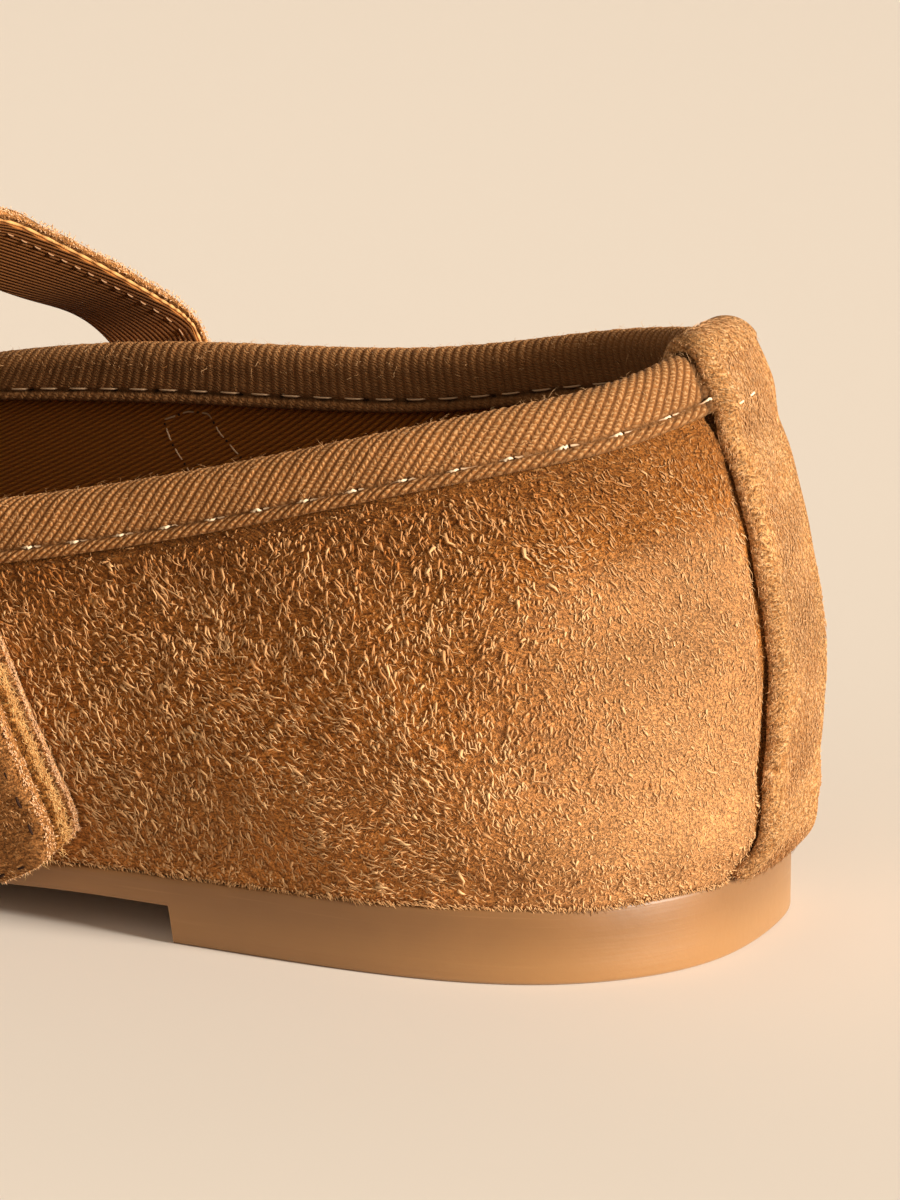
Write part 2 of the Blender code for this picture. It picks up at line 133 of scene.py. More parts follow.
def closed_spline(knots, values, at):
    """Cubic through values at knots round one full turn, smooth where it closes.

    Each stretch is the cubic with the two end values and the two end bends, and the bends
    solve the equations that make neighbouring slopes equal.
    """
    width = np.diff(np.append(knots, knots[0] + TURN))
    slope = np.diff(np.append(values, values[0])) / width
    before = np.roll(width, 1)
    row = np.arange(len(knots))
    after = (row + 1) % len(knots)
    system = np.zeros((len(knots), len(knots)))
    system[row, row] = 2.0 * (before + width)
    system[row, after] = width
    system[row, row - 1] = before
    bend = np.linalg.solve(system, 6.0 * (slope - np.roll(slope, 1)))
    turn = np.mod(at - knots[0], TURN) + knots[0]
    left = np.searchsorted(knots, turn, side="right") - 1
    right = after[left]
    t = turn - knots[left]
    first = slope[left] - width[left] * (2.0 * bend[left] + bend[right]) / 6.0
    third = (bend[right] - bend[left]) / (6.0 * width[left])
    return values[left] + t * first + t ** 2 * bend[left] / 2.0 + t ** 3 * third


def round_ring(stations, outer, inner, at):
    """Side values read round the shoe; the station s lies at the angle where s = (1 - cos) / 2."""
    angle = np.arccos(1.0 - 2.0 * np.asarray(stations))
    knots = np.append(angle, TURN - angle[-2:0:-1])
    values = np.append(outer, np.asarray(inner)[-2:0:-1])
    return closed_spline(knots, values, at)


def share_of_length(angle):
    """Angle 0 is the back seam, a quarter turn the outer side, half a turn the toe."""
    return (1.0 - np.cos(angle)) / 2.0


def side_columns(table):
    """The columns of a table as arrays."""
    return list(np.array(table).T)


# %% Sole edge, topline and the surface between them
UP = np.array([0.0, 0.0, 1.0])


def outline(angle):
    """Edge of the sole in plan, from its back edge."""
    station, outer, inner = side_columns(SOLE_OUTLINE)
    x = SOLE_LENGTH * share_of_length(angle)
    y = BALL_WIDTH * round_ring(station, outer, -inner, angle)
    return np.stack([x, y], axis=-1)


def outline_normal(angle):
    """Unit vector in plan, outwards: the edge's direction turned a quarter to the right."""
    step = 1e-4
    along = outline(angle + step) - outline(angle - step)
    out = np.stack([-along[..., 1], along[..., 0]], axis=-1)
    return out / np.linalg.norm(out, axis=-1, keepdims=True)


def thin_underside(station):
    """A slight slope along the heel, a smooth step down the arch, a parabola up to the toe."""
    down = np.clip((station - ARCH_START) / (TREAD_BACK - ARCH_START), 0.0, 1.0)
    rise = np.clip((station - TREAD_FRONT) / (SOLE_LENGTH - TREAD_FRONT), 0.0, 1.0)
    back = np.clip(1.0 - station / HEEL_LENGTH, 0.0, 1.0)
    arch = HEEL_LIFT * (1.0 - 3.0 * down ** 2 + 2.0 * down ** 3)
    return arch + HEEL_PITCH * back + TOE_SPRING * rise ** 2


def feather_line(angle):
    """Foot of the upper's outside, on the sole just in from its edge."""
    plan = outline(angle) - outline_normal(angle) * FEATHER_INSET
    height = thin_underside(SOLE_LENGTH * share_of_length(angle)) + THIN_SOLE + GAP
    return np.concatenate([plan, height[..., None]], axis=-1)


def topline(angle):
    """Edge of the upper round the opening."""
    station, outer, inner, outer_height, inner_height = side_columns(TOPLINE)
    x = OPENING_BACK + OPENING_LENGTH * share_of_length(angle)
    y = BALL_WIDTH * round_ring(station, outer, -inner, angle)
    z = BACK_HEIGHT * round_ring(station, outer_height, inner_height, angle)
    return np.stack([x, y, z], axis=-1)


def upper_surface(angle, t):
    """Outside of the upper: a cubic curve from the feather line, t = 0, to the topline, t = 1."""
    angle, t = np.broadcast_arrays(angle, t)
    station, *columns = side_columns(PROFILE)
    low_out, low_up, reach, high_out, high_drop = (
        round_ring(station, column, column, angle)[..., None] for column in columns)
    low = feather_line(angle)
    high = topline(angle)
    height = (high - low)[..., 2:]
    out = np.concatenate([outline_normal(angle), np.zeros(angle.shape + (1,))], axis=-1)
    flat = 1.0 - UP
    low_handle = low + out * low_out * FULLNESS + UP * low_up * height
    high_handle = (high + reach * (low - high) * flat + out * high_out * FULLNESS
                   - UP * high_drop * height)
    s = t[..., None]
    return ((1 - s) ** 3 * low + 3 * (1 - s) ** 2 * s * low_handle
            + 3 * (1 - s) * s ** 2 * high_handle + s ** 3 * high)


# %% Distances and directions on the surface


def side_height(angle):
    """Straight distance from the feather line up to the topline."""
    return np.linalg.norm(topline(angle) - feather_line(angle), axis=-1)


def run_length(line):
    """Distance along a line of points (n, xyz) from its start to each of them."""
    return np.append(0.0, np.cumsum(np.linalg.norm(np.diff(line, axis=0), axis=-1)))


def unit(vectors):
    """Vectors divided by their lengths."""
    return vectors / np.maximum(np.linalg.norm(vectors, axis=-1, keepdims=True), 1e-12)


def surface_frame(angle, t):
    """Round way, up way and outward unit normal of the surface, by small steps each way."""
    step = 1e-4
    round_way = (upper_surface(angle + step, t) - upper_surface(angle - step, t)) / (2 * step)
    up_way = (upper_surface(angle, t + step) - upper_surface(angle, t - step)) / (2 * step)
    return round_way, up_way, unit(np.cross(up_way, round_way))


def off_surface(angle, t, offset):
    """Point at a distance outwards from the upper's outside."""
    angle, t, offset = np.broadcast_arrays(angle, t, offset)
    out = surface_frame(angle, t)[2]
    return upper_surface(angle, t) + out * offset[..., None]


def below_edge(angle, distance):
    """The t of a point this far down from the topline."""
    up_way = surface_frame(angle, np.ones_like(angle))[1]
    return 1.0 - distance / np.linalg.norm(up_way, axis=-1)


heel_outline = outline(np.linspace(0.0, TURN, 721))
print("outline drawn, widest %.1f mm" % (np.ptp(heel_outline[:, 1]) / MM))

# %% [markdown]
# ## From arrays to a mesh
# Each piece is a grid of points worked out at once with numpy. The grid's corners are joined into
# four-sided faces, and `foreach_set` hands the arrays to Blender without a loop over vertices.
# A UV map in millimetres travels with the grid, so a weave can follow the cloth. A modelled mesh
# with modifiers would do as well, but a grid of real sizes keeps every stitch where it is sewn.

# %% Mesh and piece helpers


def grid_quads(rows, columns, rows_close=False, columns_close=False):
    """Corner numbers (face, 4) of a grid, and each corner's row and column before wrapping."""
    row = np.arange(rows if rows_close else rows - 1)
    column = np.arange(columns if columns_close else columns - 1)
    row, column = np.meshgrid(row, column, indexing="ij")
    corner_row = np.stack([row, row, row + 1, row + 1], axis=-1).reshape(-1, 4)
    corner_column = np.stack([column, column + 1, column + 1, column], axis=-1).reshape(-1, 4)
    corners = (corner_row % rows) * columns + corner_column % columns
    return corners, corner_row, corner_column


def fill_mesh(name, points, faces, uv=None, tone=None):
    """A mesh from points (n, 3) and a list of face arrays, each (m, corners)."""
    mesh = bpy.data.meshes.new(name)
    corners = np.concatenate([part.ravel() for part in faces]).astype(np.int32)
    sizes = np.concatenate([np.full(len(part), part.shape[1]) for part in faces])
    starts = (np.cumsum(sizes) - sizes).astype(np.int32)
    placed = points - np.array([HEEL_CENTRE, 0.0, 0.0])
    mesh.vertices.add(len(points))
    mesh.vertices.foreach_set("co", placed.astype(np.float32).ravel())
    mesh.loops.add(len(corners))
    mesh.loops.foreach_set("vertex_index", corners)
    mesh.polygons.add(len(sizes))
    mesh.polygons.foreach_set("loop_start", starts)
    if uv is not None:
        mesh.uv_layers.new(name="cloth").data.foreach_set("uv", uv.astype(np.float32).ravel())
    if tone is not None:
        layer = mesh.attributes.new("tone", "FLOAT", "POINT")
        layer.data.foreach_set("value", tone.astype(np.float32))
    mesh.update(calc_edges=True)
    mesh.shade_smooth()
    return mesh


# %% Laying a piece on the shoe
made = {}


def lay(name, mesh, material, replaced=()):
    """Puts a finished mesh on the shoe, with the node that it stands for."""
    mesh.materials.append(material)
    piece = bpy.data.objects.new(name, mesh)
    bpy.context.scene.collection.objects.link(piece)
    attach(piece, "root")
    if replaced:
        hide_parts(*replaced)
    triangles = int(sum(len(face.vertices) - 2 for face in mesh.polygons))
    made[name] = triangles
    print("%s: %d triangles" % (name, triangles))
    return piece


def hoop_piece(name, sections, material, replaced=(), along=None, across=None, tone=None):
    """A closed section (ring, corner, xyz) carried round a closed ring, with a map in mm."""
    rings, corners, _ = sections.shape
    faces, row, column = grid_quads(rings, corners, True, True)
    uv = None
    if along is not None:
        uv = np.stack([along[row], across[column]], axis=-1)
    mesh = fill_mesh(name, sections.reshape(-1, 3), [faces[:, ::-1]],
                     None if uv is None else uv[:, ::-1],
                     None if tone is None else tone.ravel())
    return lay(name, mesh, material, replaced)

# %% [markdown]
# ## Finishes
# A finish is a Principled material whose colour and bump come from procedural nodes. Cloth reads
# the piece's own map, in millimetres, so that ribs and threads follow it, and suede reads Object
# coordinates, because a hide has no direction of its own apart from the way its nap was brushed.

# %% Node helpers
WHITE = (1.0, 1.0, 1.0, 1.0)


def new_finish(name, roughness, specular=0.3, sheen=0.0, sheen_roughness=0.5, sheen_tint=WHITE):
    """A Principled material; what is the same all over is set on the shader's own sockets."""
    material = bpy.data.materials.new(name)
    material.use_nodes = True
    shader = material.node_tree.nodes["Principled BSDF"]
    shader.inputs["Roughness"].default_value = roughness
    shader.inputs["Specular IOR Level"].default_value = specular
    shader.inputs["Sheen Weight"].default_value = sheen
    shader.inputs["Sheen Roughness"].default_value = sheen_roughness
    shader.inputs["Sheen Tint"].default_value = sheen_tint
    return material


def node(material, kind, sockets=None, **settings):
    """Adds one node; a socket takes a value or the output of an earlier node."""
    added = material.node_tree.nodes.new(kind)
    for key, value in settings.items():
        setattr(added, key, value)
    for key, value in (sockets or {}).items():
        if isinstance(value, bpy.types.NodeSocket):
            material.node_tree.links.new(value, added.inputs[key])
        else:
            added.inputs[key].default_value = value
    return added


def maths(material, operation, first, second=0.0, third=0.0):
    """The result of one sum on values or outputs."""
    added = node(material, "ShaderNodeMath", {0: first, 1: second, 2: third}, operation=operation)
    return added.outputs[0]


def spread(material, value, low, high, to_low=0.0, to_high=1.0):
    """Moves a value from one range to another, smoothly and held at both ends."""
    added = node(material, "ShaderNodeMapRange",
                 {"Value": value, "From Min": low, "From Max": high,
                  "To Min": to_low, "To Max": to_high}, interpolation_type="SMOOTHSTEP")
    return added.outputs["Result"]


def mixed(material, share, first, second, blend="MIX"):
    """Mix of two colours: all of the first where the share is 0, all of the second at 1.

    The numbers are the places of the node's factor and of its two colours among its sockets.
    """
    added = material.node_tree.nodes.new("ShaderNodeMix")
    added.data_type = "RGBA"
    added.blend_type = blend
    for place, value in ((0, share), (6, first), (7, second)):
        if isinstance(value, bpy.types.NodeSocket):
            material.node_tree.links.new(value, added.inputs[place])
        else:
            added.inputs[place].default_value = value
    return added.outputs[2]


def noise(material, vector, scale, detail=2.0, roughness=0.5, distortion=0.0):
    """Noise as a value and as a colour; scale counts its lumps in one unit of the vector."""
    added = node(material, "ShaderNodeTexNoise",
                 {"Vector": vector, "Scale": scale, "Detail": detail,
                  "Roughness": roughness, "Distortion": distortion})
    return added.outputs["Fac"], added.outputs["Color"]


# %% Shade, bump and the shader


def shaded(material, colour, shade):
    """The colour times a grey, which is the shade in each of its three parts."""
    grey = node(material, "ShaderNodeCombineColor",
                {"Red": shade, "Green": shade, "Blue": shade}).outputs[0]
    return mixed(material, 1.0, colour, grey, "MULTIPLY")


def bump(material, height, distance, below=None):
    """Bump of a real height in metres, on top of an earlier one if below is given."""
    sockets = {"Height": height, "Distance": distance, "Strength": 1.0}
    if below is not None:
        sockets["Normal"] = below
    return node(material, "ShaderNodeBump", sockets).outputs["Normal"]


def wear(material, colour, normal=None):
    """Links the colour and the bump to the shader."""
    shader = material.node_tree.nodes["Principled BSDF"]
    material.node_tree.links.new(colour, shader.inputs["Base Color"])
    if normal is not None:
        material.node_tree.links.new(normal, shader.inputs["Normal"])
    return material


def srgb(red, green, blue):
    """A colour as it is seen, 0 to 255, turned into the linear one that nodes take."""
    seen = np.array([red, green, blue]) / 255.0
    linear = np.where(seen <= 0.04045, seen / 12.92, ((seen + 0.055) / 1.055) ** 2.4)
    return (*[float(part) for part in linear], 1.0)


# %% Suede and its nap
SUEDE_DARK = srgb(130, 72, 22)
SUEDE_MID = srgb(190, 118, 50)
SUEDE_LIGHT = srgb(214, 156, 96)
SUEDE_HIGHLIGHT = srgb(232, 178, 124)  # painted highlight colour where the heel turns to the lamp


def make_suede(name, dark, mid, light, patchy=1.0, toned=False):
    """Dense short nap: lumps of fibre a millimetre long that were brushed down and backwards.

    With toned, the mesh's own tone paints shade below 1 and a painted highlight above 1.
    """
    material = new_finish(name, 0.9, 0.15, sheen=0.25, sheen_roughness=0.45, sheen_tint=light)
    place = node(material, "ShaderNodeTexCoord").outputs["Object"]
    swirl = noise(material, place, 70.0, 1.0)[1]
    drift = node(material, "ShaderNodeVectorMath", {0: swirl, 1: (0.5, 0.5, 0.5)},
                 operation="SUBTRACT").outputs[0]
    warped = node(material, "ShaderNodeVectorMath",
                  {0: drift, 1: (0.012, 0.012, 0.012), 2: place}, operation="MULTIPLY_ADD").outputs[0]
    brushed = node(material, "ShaderNodeMapping",
                   {"Vector": warped, "Rotation": (0.0, np.radians(-62.0), 0.0),
                    "Scale": (900.0, 2600.0, 3000.0)}).outputs[0]
    lumps = noise(material, brushed, 1.0, 3.0, 0.62, 0.8)[0]
    fine = noise(material, place, 4200.0, 3.0, 0.65)[0]
    patch = noise(material, place, 55.0, 2.0)[0]
    low = spread(material, lumps, 0.36, 0.6)
    colour = mixed(material, low, dark, mid)
    colour = mixed(material, spread(material, lumps, 0.54, 0.72, 0.0, 0.85), colour, light)
    tint = spread(material, patch, 0.3, 0.7, 1.0 - 0.16 * patchy, 1.0 + 0.16 * patchy)
    tint = maths(material, "MULTIPLY", tint, spread(material, fine, 0.38, 0.56, 0.45, 1.10))
    if toned:
        tone = node(material, "ShaderNodeAttribute", attribute_name="tone").outputs["Fac"]
        # Above a tone of 1 the colour goes towards the painted highlight, and below 1 it is painted
        # in shade
        paler = maths(material, "MULTIPLY_ADD", tone, 2.0, -2.0)
        colour = mixed(material, maths(material, "MAXIMUM", paler, 0.0), colour, SUEDE_HIGHLIGHT)
        tint = maths(material, "MULTIPLY", tint, maths(material, "MINIMUM", tone, 1.0))
    colour = shaded(material, colour, tint)
    normal = bump(material, lumps, 0.60 * MM)
    normal = bump(material, fine, 0.16 * MM, normal)
    return wear(material, colour, normal)


def make_fibre(name, dark, light, roughness=0.75):
    """Single fibres: each has a tone of its own, from 0, dark, to 1, light."""
    material = new_finish(name, roughness, 0.25, sheen=0.3, sheen_roughness=0.4, sheen_tint=light)
    tone = node(material, "ShaderNodeAttribute", attribute_name="tone").outputs["Fac"]
    return wear(material, mixed(material, tone, dark, light))


suede = make_suede("suede", SUEDE_DARK, SUEDE_MID, SUEDE_LIGHT, 1.0, True)
nap = make_fibre("suede_nap", srgb(160, 97, 38), srgb(223, 180, 128))
print("finishes so far:", len(bpy.data.materials))

# %% [markdown]
# ## Smooth chance
# Nap, weave and leather all vary from place to place, but smoothly. A sum of a few long sine
# waves in chosen directions gives such a field at any point, the same on every run.

# %% Smooth fields


def drifting(points, size, seed):
    """Between about -1 and 1: waves of about this size, in metres, in random directions."""
    chance = np.random.default_rng(seed)
    total = np.zeros(points.shape[:-1])
    for _ in range(7):
        way = unit(chance.normal(size=3))
        length = size * chance.uniform(0.7, 1.5)
        total += np.sin((points @ way) * TURN / length + chance.uniform(0.0, TURN))
    return total / 2.6


def step_up(value, low, high):
    """0 below low, 1 above high, and a smooth curve between."""
    share = np.clip((value - low) / (high - low), 0.0, 1.0)
    return share * share * (3.0 - 2.0 * share)


def ridge(distance, width):
    """A bell: 1 at distance 0, and e to the minus (distance / width) squared away from it."""
    return np.exp(-(distance / width) ** 2)


# %% [markdown]
# ## The suede upper
# The upper is one hollow shell of suede with a twill lining glued in. Its outside follows the
# last, and what the hand feels on top of that is small: the suede swells below the tape that
# grips it, sinks along the back strip's seam and is fullest just above the sole at the heel. Each
# of these is a bell-shaped ridge across a known distance, which is easier to place than a brush.

# %% Suede shell
STRIP_WIDTH = 11.5 * MM
SUEDE_THICKNESS = 1.0 * MM
RINGS = 480
OUTSIDE_COLUMNS = 55
INSIDE_STEP = 9                   # the hidden inside keeps every ninth column
PUFF = 0.35 * MM                  # swelling just below the binding
PINCH = 0.25 * MM                 # dent where the binding grips
SEAM_DEPTH = 0.38 * MM            # groove along the back strip
SEAM_SWELL = 0.25 * MM            # and the swelling beside it
FOOT_SWELL = 0.50 * MM            # the suede's edge stands out over the sole
HEEL_ROLL = 1.40 * MM             # fullness above the sole at the back
HEEL_ROLL_UP = 5.8 * MM           # height of its middle above the sole
HEEL_ROLL_FRONT = 30.0 * MM       # station where it has died out
HEEL_HIGHLIGHT = 0.20                 # painted highlight: how much paler the heel is painted where it turns to the lamp
BINDING_SHADE = 0.36              # painted shade: how much darker the suede is painted below the binding
CREVICE_SHADE = 0.60              # and the painted shadow in the crevice beside the strip
HEEL_ZONE_LENGTH = 24.0 * MM        # the heel's painted highlight and its finer nap end at this station


def heel_roll(angle, t):
    """Fullness of the suede a few millimetres above the sole, round the heel only."""
    above = t * side_height(angle)
    heel = 1.0 - step_up(SOLE_LENGTH * share_of_length(angle), 6.0 * MM, HEEL_ROLL_FRONT)
    return HEEL_ROLL * ridge(above - HEEL_ROLL_UP, 4.0 * MM) * heel


def suede_relief(angle, t, points):
    """How far the suede stands out from the last at each point."""
    above = t * side_height(angle)
    below = (1.0 - t) * side_height(angle)
    beside = np.abs(points[..., 1]) - STRIP_WIDTH / 2.0
    near_back = step_up(-points[..., 0], -14.0 * MM, -6.0 * MM)
    foot = FOOT_SWELL * ridge(above, 1.8 * MM) * step_up(beside, -2.0 * MM, 1.0 * MM)
    puff = PUFF * ridge(below - BINDING_WIDTH - 2.2 * MM, 1.6 * MM)
    pinch = -PINCH * ridge(below - BINDING_WIDTH, 0.8 * MM)
    groove = -SEAM_DEPTH * ridge(beside - 0.15 * MM, 0.55 * MM) * near_back
    swell = SEAM_SWELL * ridge(beside - 2.4 * MM, 1.6 * MM) * near_back
    soft = 0.16 * MM * drifting(points, 17.0 * MM, 3) + 0.07 * MM * drifting(points, 6.0 * MM, 4)
    soft = soft * step_up(below, 3.0 * MM, 9.0 * MM)
    return puff + pinch + groove + swell + foot + soft + heel_roll(angle, t)


# %% Where the suede is painted paler or darker by light and shade


def near_heel(points):
    """1 at the back of the sole, falling smoothly to 0 where the heel zone ends."""
    return 1.0 - step_up(points[..., 0], 0.0, HEEL_ZONE_LENGTH)


def suede_tone(angle, t, points):
    """1 in the middle of the quarter, more where a highlight is painted and less where shade is
    painted.
    """
    below = (1.0 - t) * side_height(angle)
    beside = np.abs(points[..., 1]) - STRIP_WIDTH / 2.0
    # Painted highlight at the heel, painted shade below the binding, a little painted light low on
    # the side, and a painted shadow in the crevice beside the strip
    tone = 1.0 + HEEL_HIGHLIGHT * near_heel(points) * step_up(below, 4.0 * MM, 16.0 * MM)
    tone -= BINDING_SHADE * (1.0 - step_up(below, BINDING_WIDTH, 18.0 * MM))
    tone += 0.04 * step_up(below, 24.0 * MM, 36.0 * MM)
    crevice = ridge(beside - 0.1 * MM, 0.40 * MM) * (points[..., 0] < 20.0 * MM)
    return tone * (1.0 - CREVICE_SHADE * crevice)


def make_upper():
    """Closed section: up the outside, over the edge, and down the inside of the suede alone."""
    angle = np.arange(RINGS)[:, None] * TURN / RINGS
    t = np.linspace(0.0, 1.0, OUTSIDE_COLUMNS)[None, :]
    angle, t = np.broadcast_arrays(angle, t)
    last = upper_surface(angle, t)
    outside = off_surface(angle, t, suede_relief(angle, t, last))
    inner_t = t[:, ::INSIDE_STEP]
    inside = off_surface(angle[:, ::INSIDE_STEP], inner_t, -SUEDE_THICKNESS)
    tone = suede_tone(angle, t, last)
    tone = np.concatenate([tone, np.ones(inner_t.shape)], axis=1)
    hoop_piece("suede_upper", np.concatenate([outside, inside[:, ::-1]], axis=1), suede,
               ("upper",), None, None, tone)


make_upper()

# %% [markdown]
# ## Twill and lining cloth
# Twill is woven in slanting ribs. On the tape each rib is a millimetre wide and stands up enough
# to be modelled; the lining is flatter, so there the ribs are colour and bump on the map. A wave
# along the map makes the ribs, and a second, finer one makes the twist of the yarn in them.

# %% Twill finishes
TWILL_DARK = srgb(122, 76, 38)
TWILL_MID = srgb(168, 112, 62)
TWILL_LIGHT = srgb(222, 172, 118)
YARN_TURN = 0.36                  # millimetres of rib between two twists of its yarn


def map_parts(material):
    """The two parts of the piece's map, in millimetres: along and across."""
    place = node(material, "ShaderNodeUVMap", uv_map="cloth").outputs[0]
    parts = node(material, "ShaderNodeSeparateXYZ", {0: place})
    return place, parts.outputs[0], parts.outputs[1]


def wave(material, along, pitch, shift=0.0):
    """0 to 1 and back once every pitch: half of one plus a sine."""
    turned = maths(material, "MULTIPLY_ADD", along, TURN / pitch, shift)
    return maths(material, "MULTIPLY_ADD", maths(material, "SINE", turned), 0.5, 0.5)


def make_tape_cloth(name, pitch):
    """Ribs of twisted yarn: a slant wave across each rib, painted shade between ribs, and a painted
    highlight and a dusty sheen on top.
    """
    material = new_finish(name, 0.88, 0.15, sheen=0.3, sheen_roughness=0.4, sheen_tint=TWILL_LIGHT)
    place, along, across = map_parts(material)
    rib = wave(material, along, pitch, np.pi / 2.0)
    loose = noise(material, place, 1.3, 2.0)[0]
    slant = maths(material, "MULTIPLY_ADD", along, 0.45, across)
    slant = maths(material, "MULTIPLY_ADD", loose, 0.9, slant)
    twist = wave(material, slant, YARN_TURN)
    wool = noise(material, place, 5.0, 3.0, 0.6)[0]
    patch = noise(material, place, 0.25, 2.0)[0]
    tone = node(material, "ShaderNodeAttribute", attribute_name="tone").outputs["Fac"]
    # Where the tone paints shade, inside the shoe, in the furrow and beside the strip, the ribs'
    # painted shade and shine show less
    rib_contrast = spread(material, tone, 0.50, 0.80, 0.45, 1.0)
    rib = maths(material, "MULTIPLY_ADD", rib_contrast, maths(material, "SUBTRACT", rib, 0.5), 0.5)
    colour = mixed(material, spread(material, rib, 0.0, 0.45), TWILL_DARK, TWILL_MID)
    shine = maths(material, "MULTIPLY", spread(material, twist, 0.35, 0.95),
                  spread(material, rib, 0.2, 0.8))
    shine = maths(material, "MULTIPLY", shine, rib_contrast)
    colour = mixed(material, maths(material, "MULTIPLY", shine, 0.72), colour, TWILL_LIGHT)
    shade = spread(material, wool, 0.3, 0.7, 0.78, 1.12)
    broad = spread(material, patch, 0.3, 0.7, 0.9, 1.08)
    shade = maths(material, "MULTIPLY", shade, broad)
    shade = maths(material, "MULTIPLY", shade, tone)
    colour = shaded(material, colour, shade)
    normal = bump(material, twist, 0.07 * MM)
    normal = bump(material, wool, 0.12 * MM, normal)
    return wear(material, colour, normal)


# %% Lining cloth


def make_lining_cloth(name, pitch, slope, dark, light):
    """Flat twill: ribs that climb by slope along the map, with a little wool on them."""
    material = new_finish(name, 0.85, 0.2, sheen=0.15, sheen_tint=light)
    place, along, across = map_parts(material)
    climb = maths(material, "MULTIPLY_ADD", along, slope, across)
    rib = wave(material, climb, pitch)
    thread = wave(material, maths(material, "MULTIPLY_ADD", across, slope, along), 0.42)
    wool = noise(material, place, 4.0, 3.0, 0.6)[0]
    colour = mixed(material, spread(material, rib, 0.1, 0.8), dark, light)
    shade = maths(material, "MULTIPLY", spread(material, wool, 0.3, 0.7, 0.8, 1.1),
                  spread(material, thread, 0.0, 1.0, 0.86, 1.06))
    colour = shaded(material, colour, shade)
    normal = bump(material, rib, 0.22 * MM)
    normal = bump(material, maths(material, "MULTIPLY", thread, rib), 0.08 * MM, normal)
    normal = bump(material, wool, 0.06 * MM, normal)
    return wear(material, colour, normal)


RIB_PITCH = 1.03
tape_cloth = make_tape_cloth("binding_twill", RIB_PITCH)
lining_cloth = make_lining_cloth("lining_twill", 1.35, -1.3, srgb(122, 66, 16), srgb(184, 112, 38))

# %% [markdown]
# ## Lining and sock
# The lining is a second, thinner shell inside the suede, and the sock lies on the sole. Both are
# brown twill. They reach a little under each other, so that no edge shows from above. The
# upper's wall could carry both cloths as two materials, but a lining of its own has a real edge
# under the tape and its own map, which its slanting ribs need.

# %% Lining
LINING_RINGS = 360
LINING_COLUMNS = 20
ring_fine = np.linspace(0.0, TURN, 5761)
ring_length = run_length(topline(ring_fine))
RING_TOTAL = ring_length[-1]
print("opening %.0f mm round" % (RING_TOTAL / MM))


def make_lining():
    """Closed section between the suede's inside and the wall's inside."""
    angle = np.arange(LINING_RINGS)[:, None] * TURN / LINING_RINGS
    t = np.linspace(0.0, 1.0, LINING_COLUMNS)[None, :]
    inside = off_surface(angle, t, -WALL)
    outside = off_surface(angle, t[:, ::-2], -SUEDE_THICKNESS - 0.05 * MM)
    ring_angle = np.linspace(0.0, TURN, LINING_RINGS + 1)
    along = np.interp(ring_angle, ring_fine, ring_length) / MM
    heights = np.append(t[0], t[0, ::-2]) * BACK_HEIGHT / MM
    hoop_piece("twill_lining", np.concatenate([outside[:, ::-1], inside[:, ::-1]], axis=1),
               lining_cloth, (), along, np.append(heights[::-1], heights[-1]))


make_lining()

# %% Sock
SOCK = 1.5 * MM


def slab_piece(name, rings, material, replaced=(), crease=None):
    """Rings from top to bottom, closed by strips that join the shoe's two sides."""
    levels, steps, _ = rings.shape
    sides = grid_quads(levels, steps, False, True)[0]
    step = np.arange(steps // 2)
    across = np.stack([step, step + 1, (steps - step - 1) % steps, (steps - step) % steps], axis=-1)
    ends = across[[0, -1]]
    middle = across[1:-1]
    back = np.array([[0, 1, steps - 1]])
    front = np.array([[steps // 2 - 1, steps // 2, steps // 2 + 1]])
    faces = [sides[:, ::-1]]
    for first, flip in ((0, False), ((levels - 1) * steps, True)):
        for part in (middle, back, front):
            part = part + first
            faces.append(part[:, ::-1] if flip else part)
    points = rings.reshape(-1, 3)
    place = np.concatenate([part.ravel() for part in faces])
    mesh = fill_mesh(name, points, faces, points[place, :2] / MM)
    if crease is not None:
        mesh.set_sharp_from_angle(angle=np.radians(crease))
    return lay(name, mesh, material, replaced)


def rounded_rings(angle, levels):
    """One ring for each (inset, height) pair; height is an array over the ring."""
    rings = []
    for inset, height in levels:
        plan = outline(angle) - outline_normal(angle) * inset
        rings.append(np.concatenate([plan, height[:, None]], axis=-1))
    return np.array(rings)


def make_sock():
    """A soft sheet with a rounded edge: rings from its top face, round the edge, to its foot."""
    angle = np.arange(LINING_RINGS) * TURN / LINING_RINGS
    inset = FEATHER_INSET + WALL + 2.0 * GAP
    floor = thin_underside(SOLE_LENGTH * share_of_length(angle)) + THIN_SOLE + GAP
    levels = [(inset + 6.0 * MM, floor + SOCK), (inset + 1.2 * MM, floor + SOCK),
              (inset + 0.4 * MM, floor + 0.85 * SOCK), (inset, floor + 0.5 * SOCK),
              (inset + 0.2 * MM, floor)]
    slab_piece("sock", rounded_rings(angle, levels), lining_cloth, ("insole",))


make_sock()

# %% [markdown]
# ## The outsole
# Gum rubber, moulded in one with its low heel block. Light goes a little way into it, which
# softens its shadows, so the finish has subsurface colour, and a fine haze and a dusty sheen break
# its gloss. It is a stack of rings: each is the sole's outline drawn in by what its rounded edge
# takes, and in front of the heel block the lower rings jump up to the thin sole.

# %% Outsole
TOP_EDGE = 0.6 * MM               # radius of the upper edge
FOOT_EDGE = 0.5 * MM              # and of the edge on the floor
SHARP_ANGLE = 38.0                # degrees past which an edge of the sole stays sharp
GUM_DARK = srgb(118, 78, 34)
GUM_MID = srgb(134, 90, 42)
GUM_SCRATCH = srgb(176, 130, 82)
GUM_LOW = srgb(164, 118, 66)      # near the floor, which lights it from below
GUM_BLOOM = srgb(235, 215, 191)   # the dusty bloom on the rubber


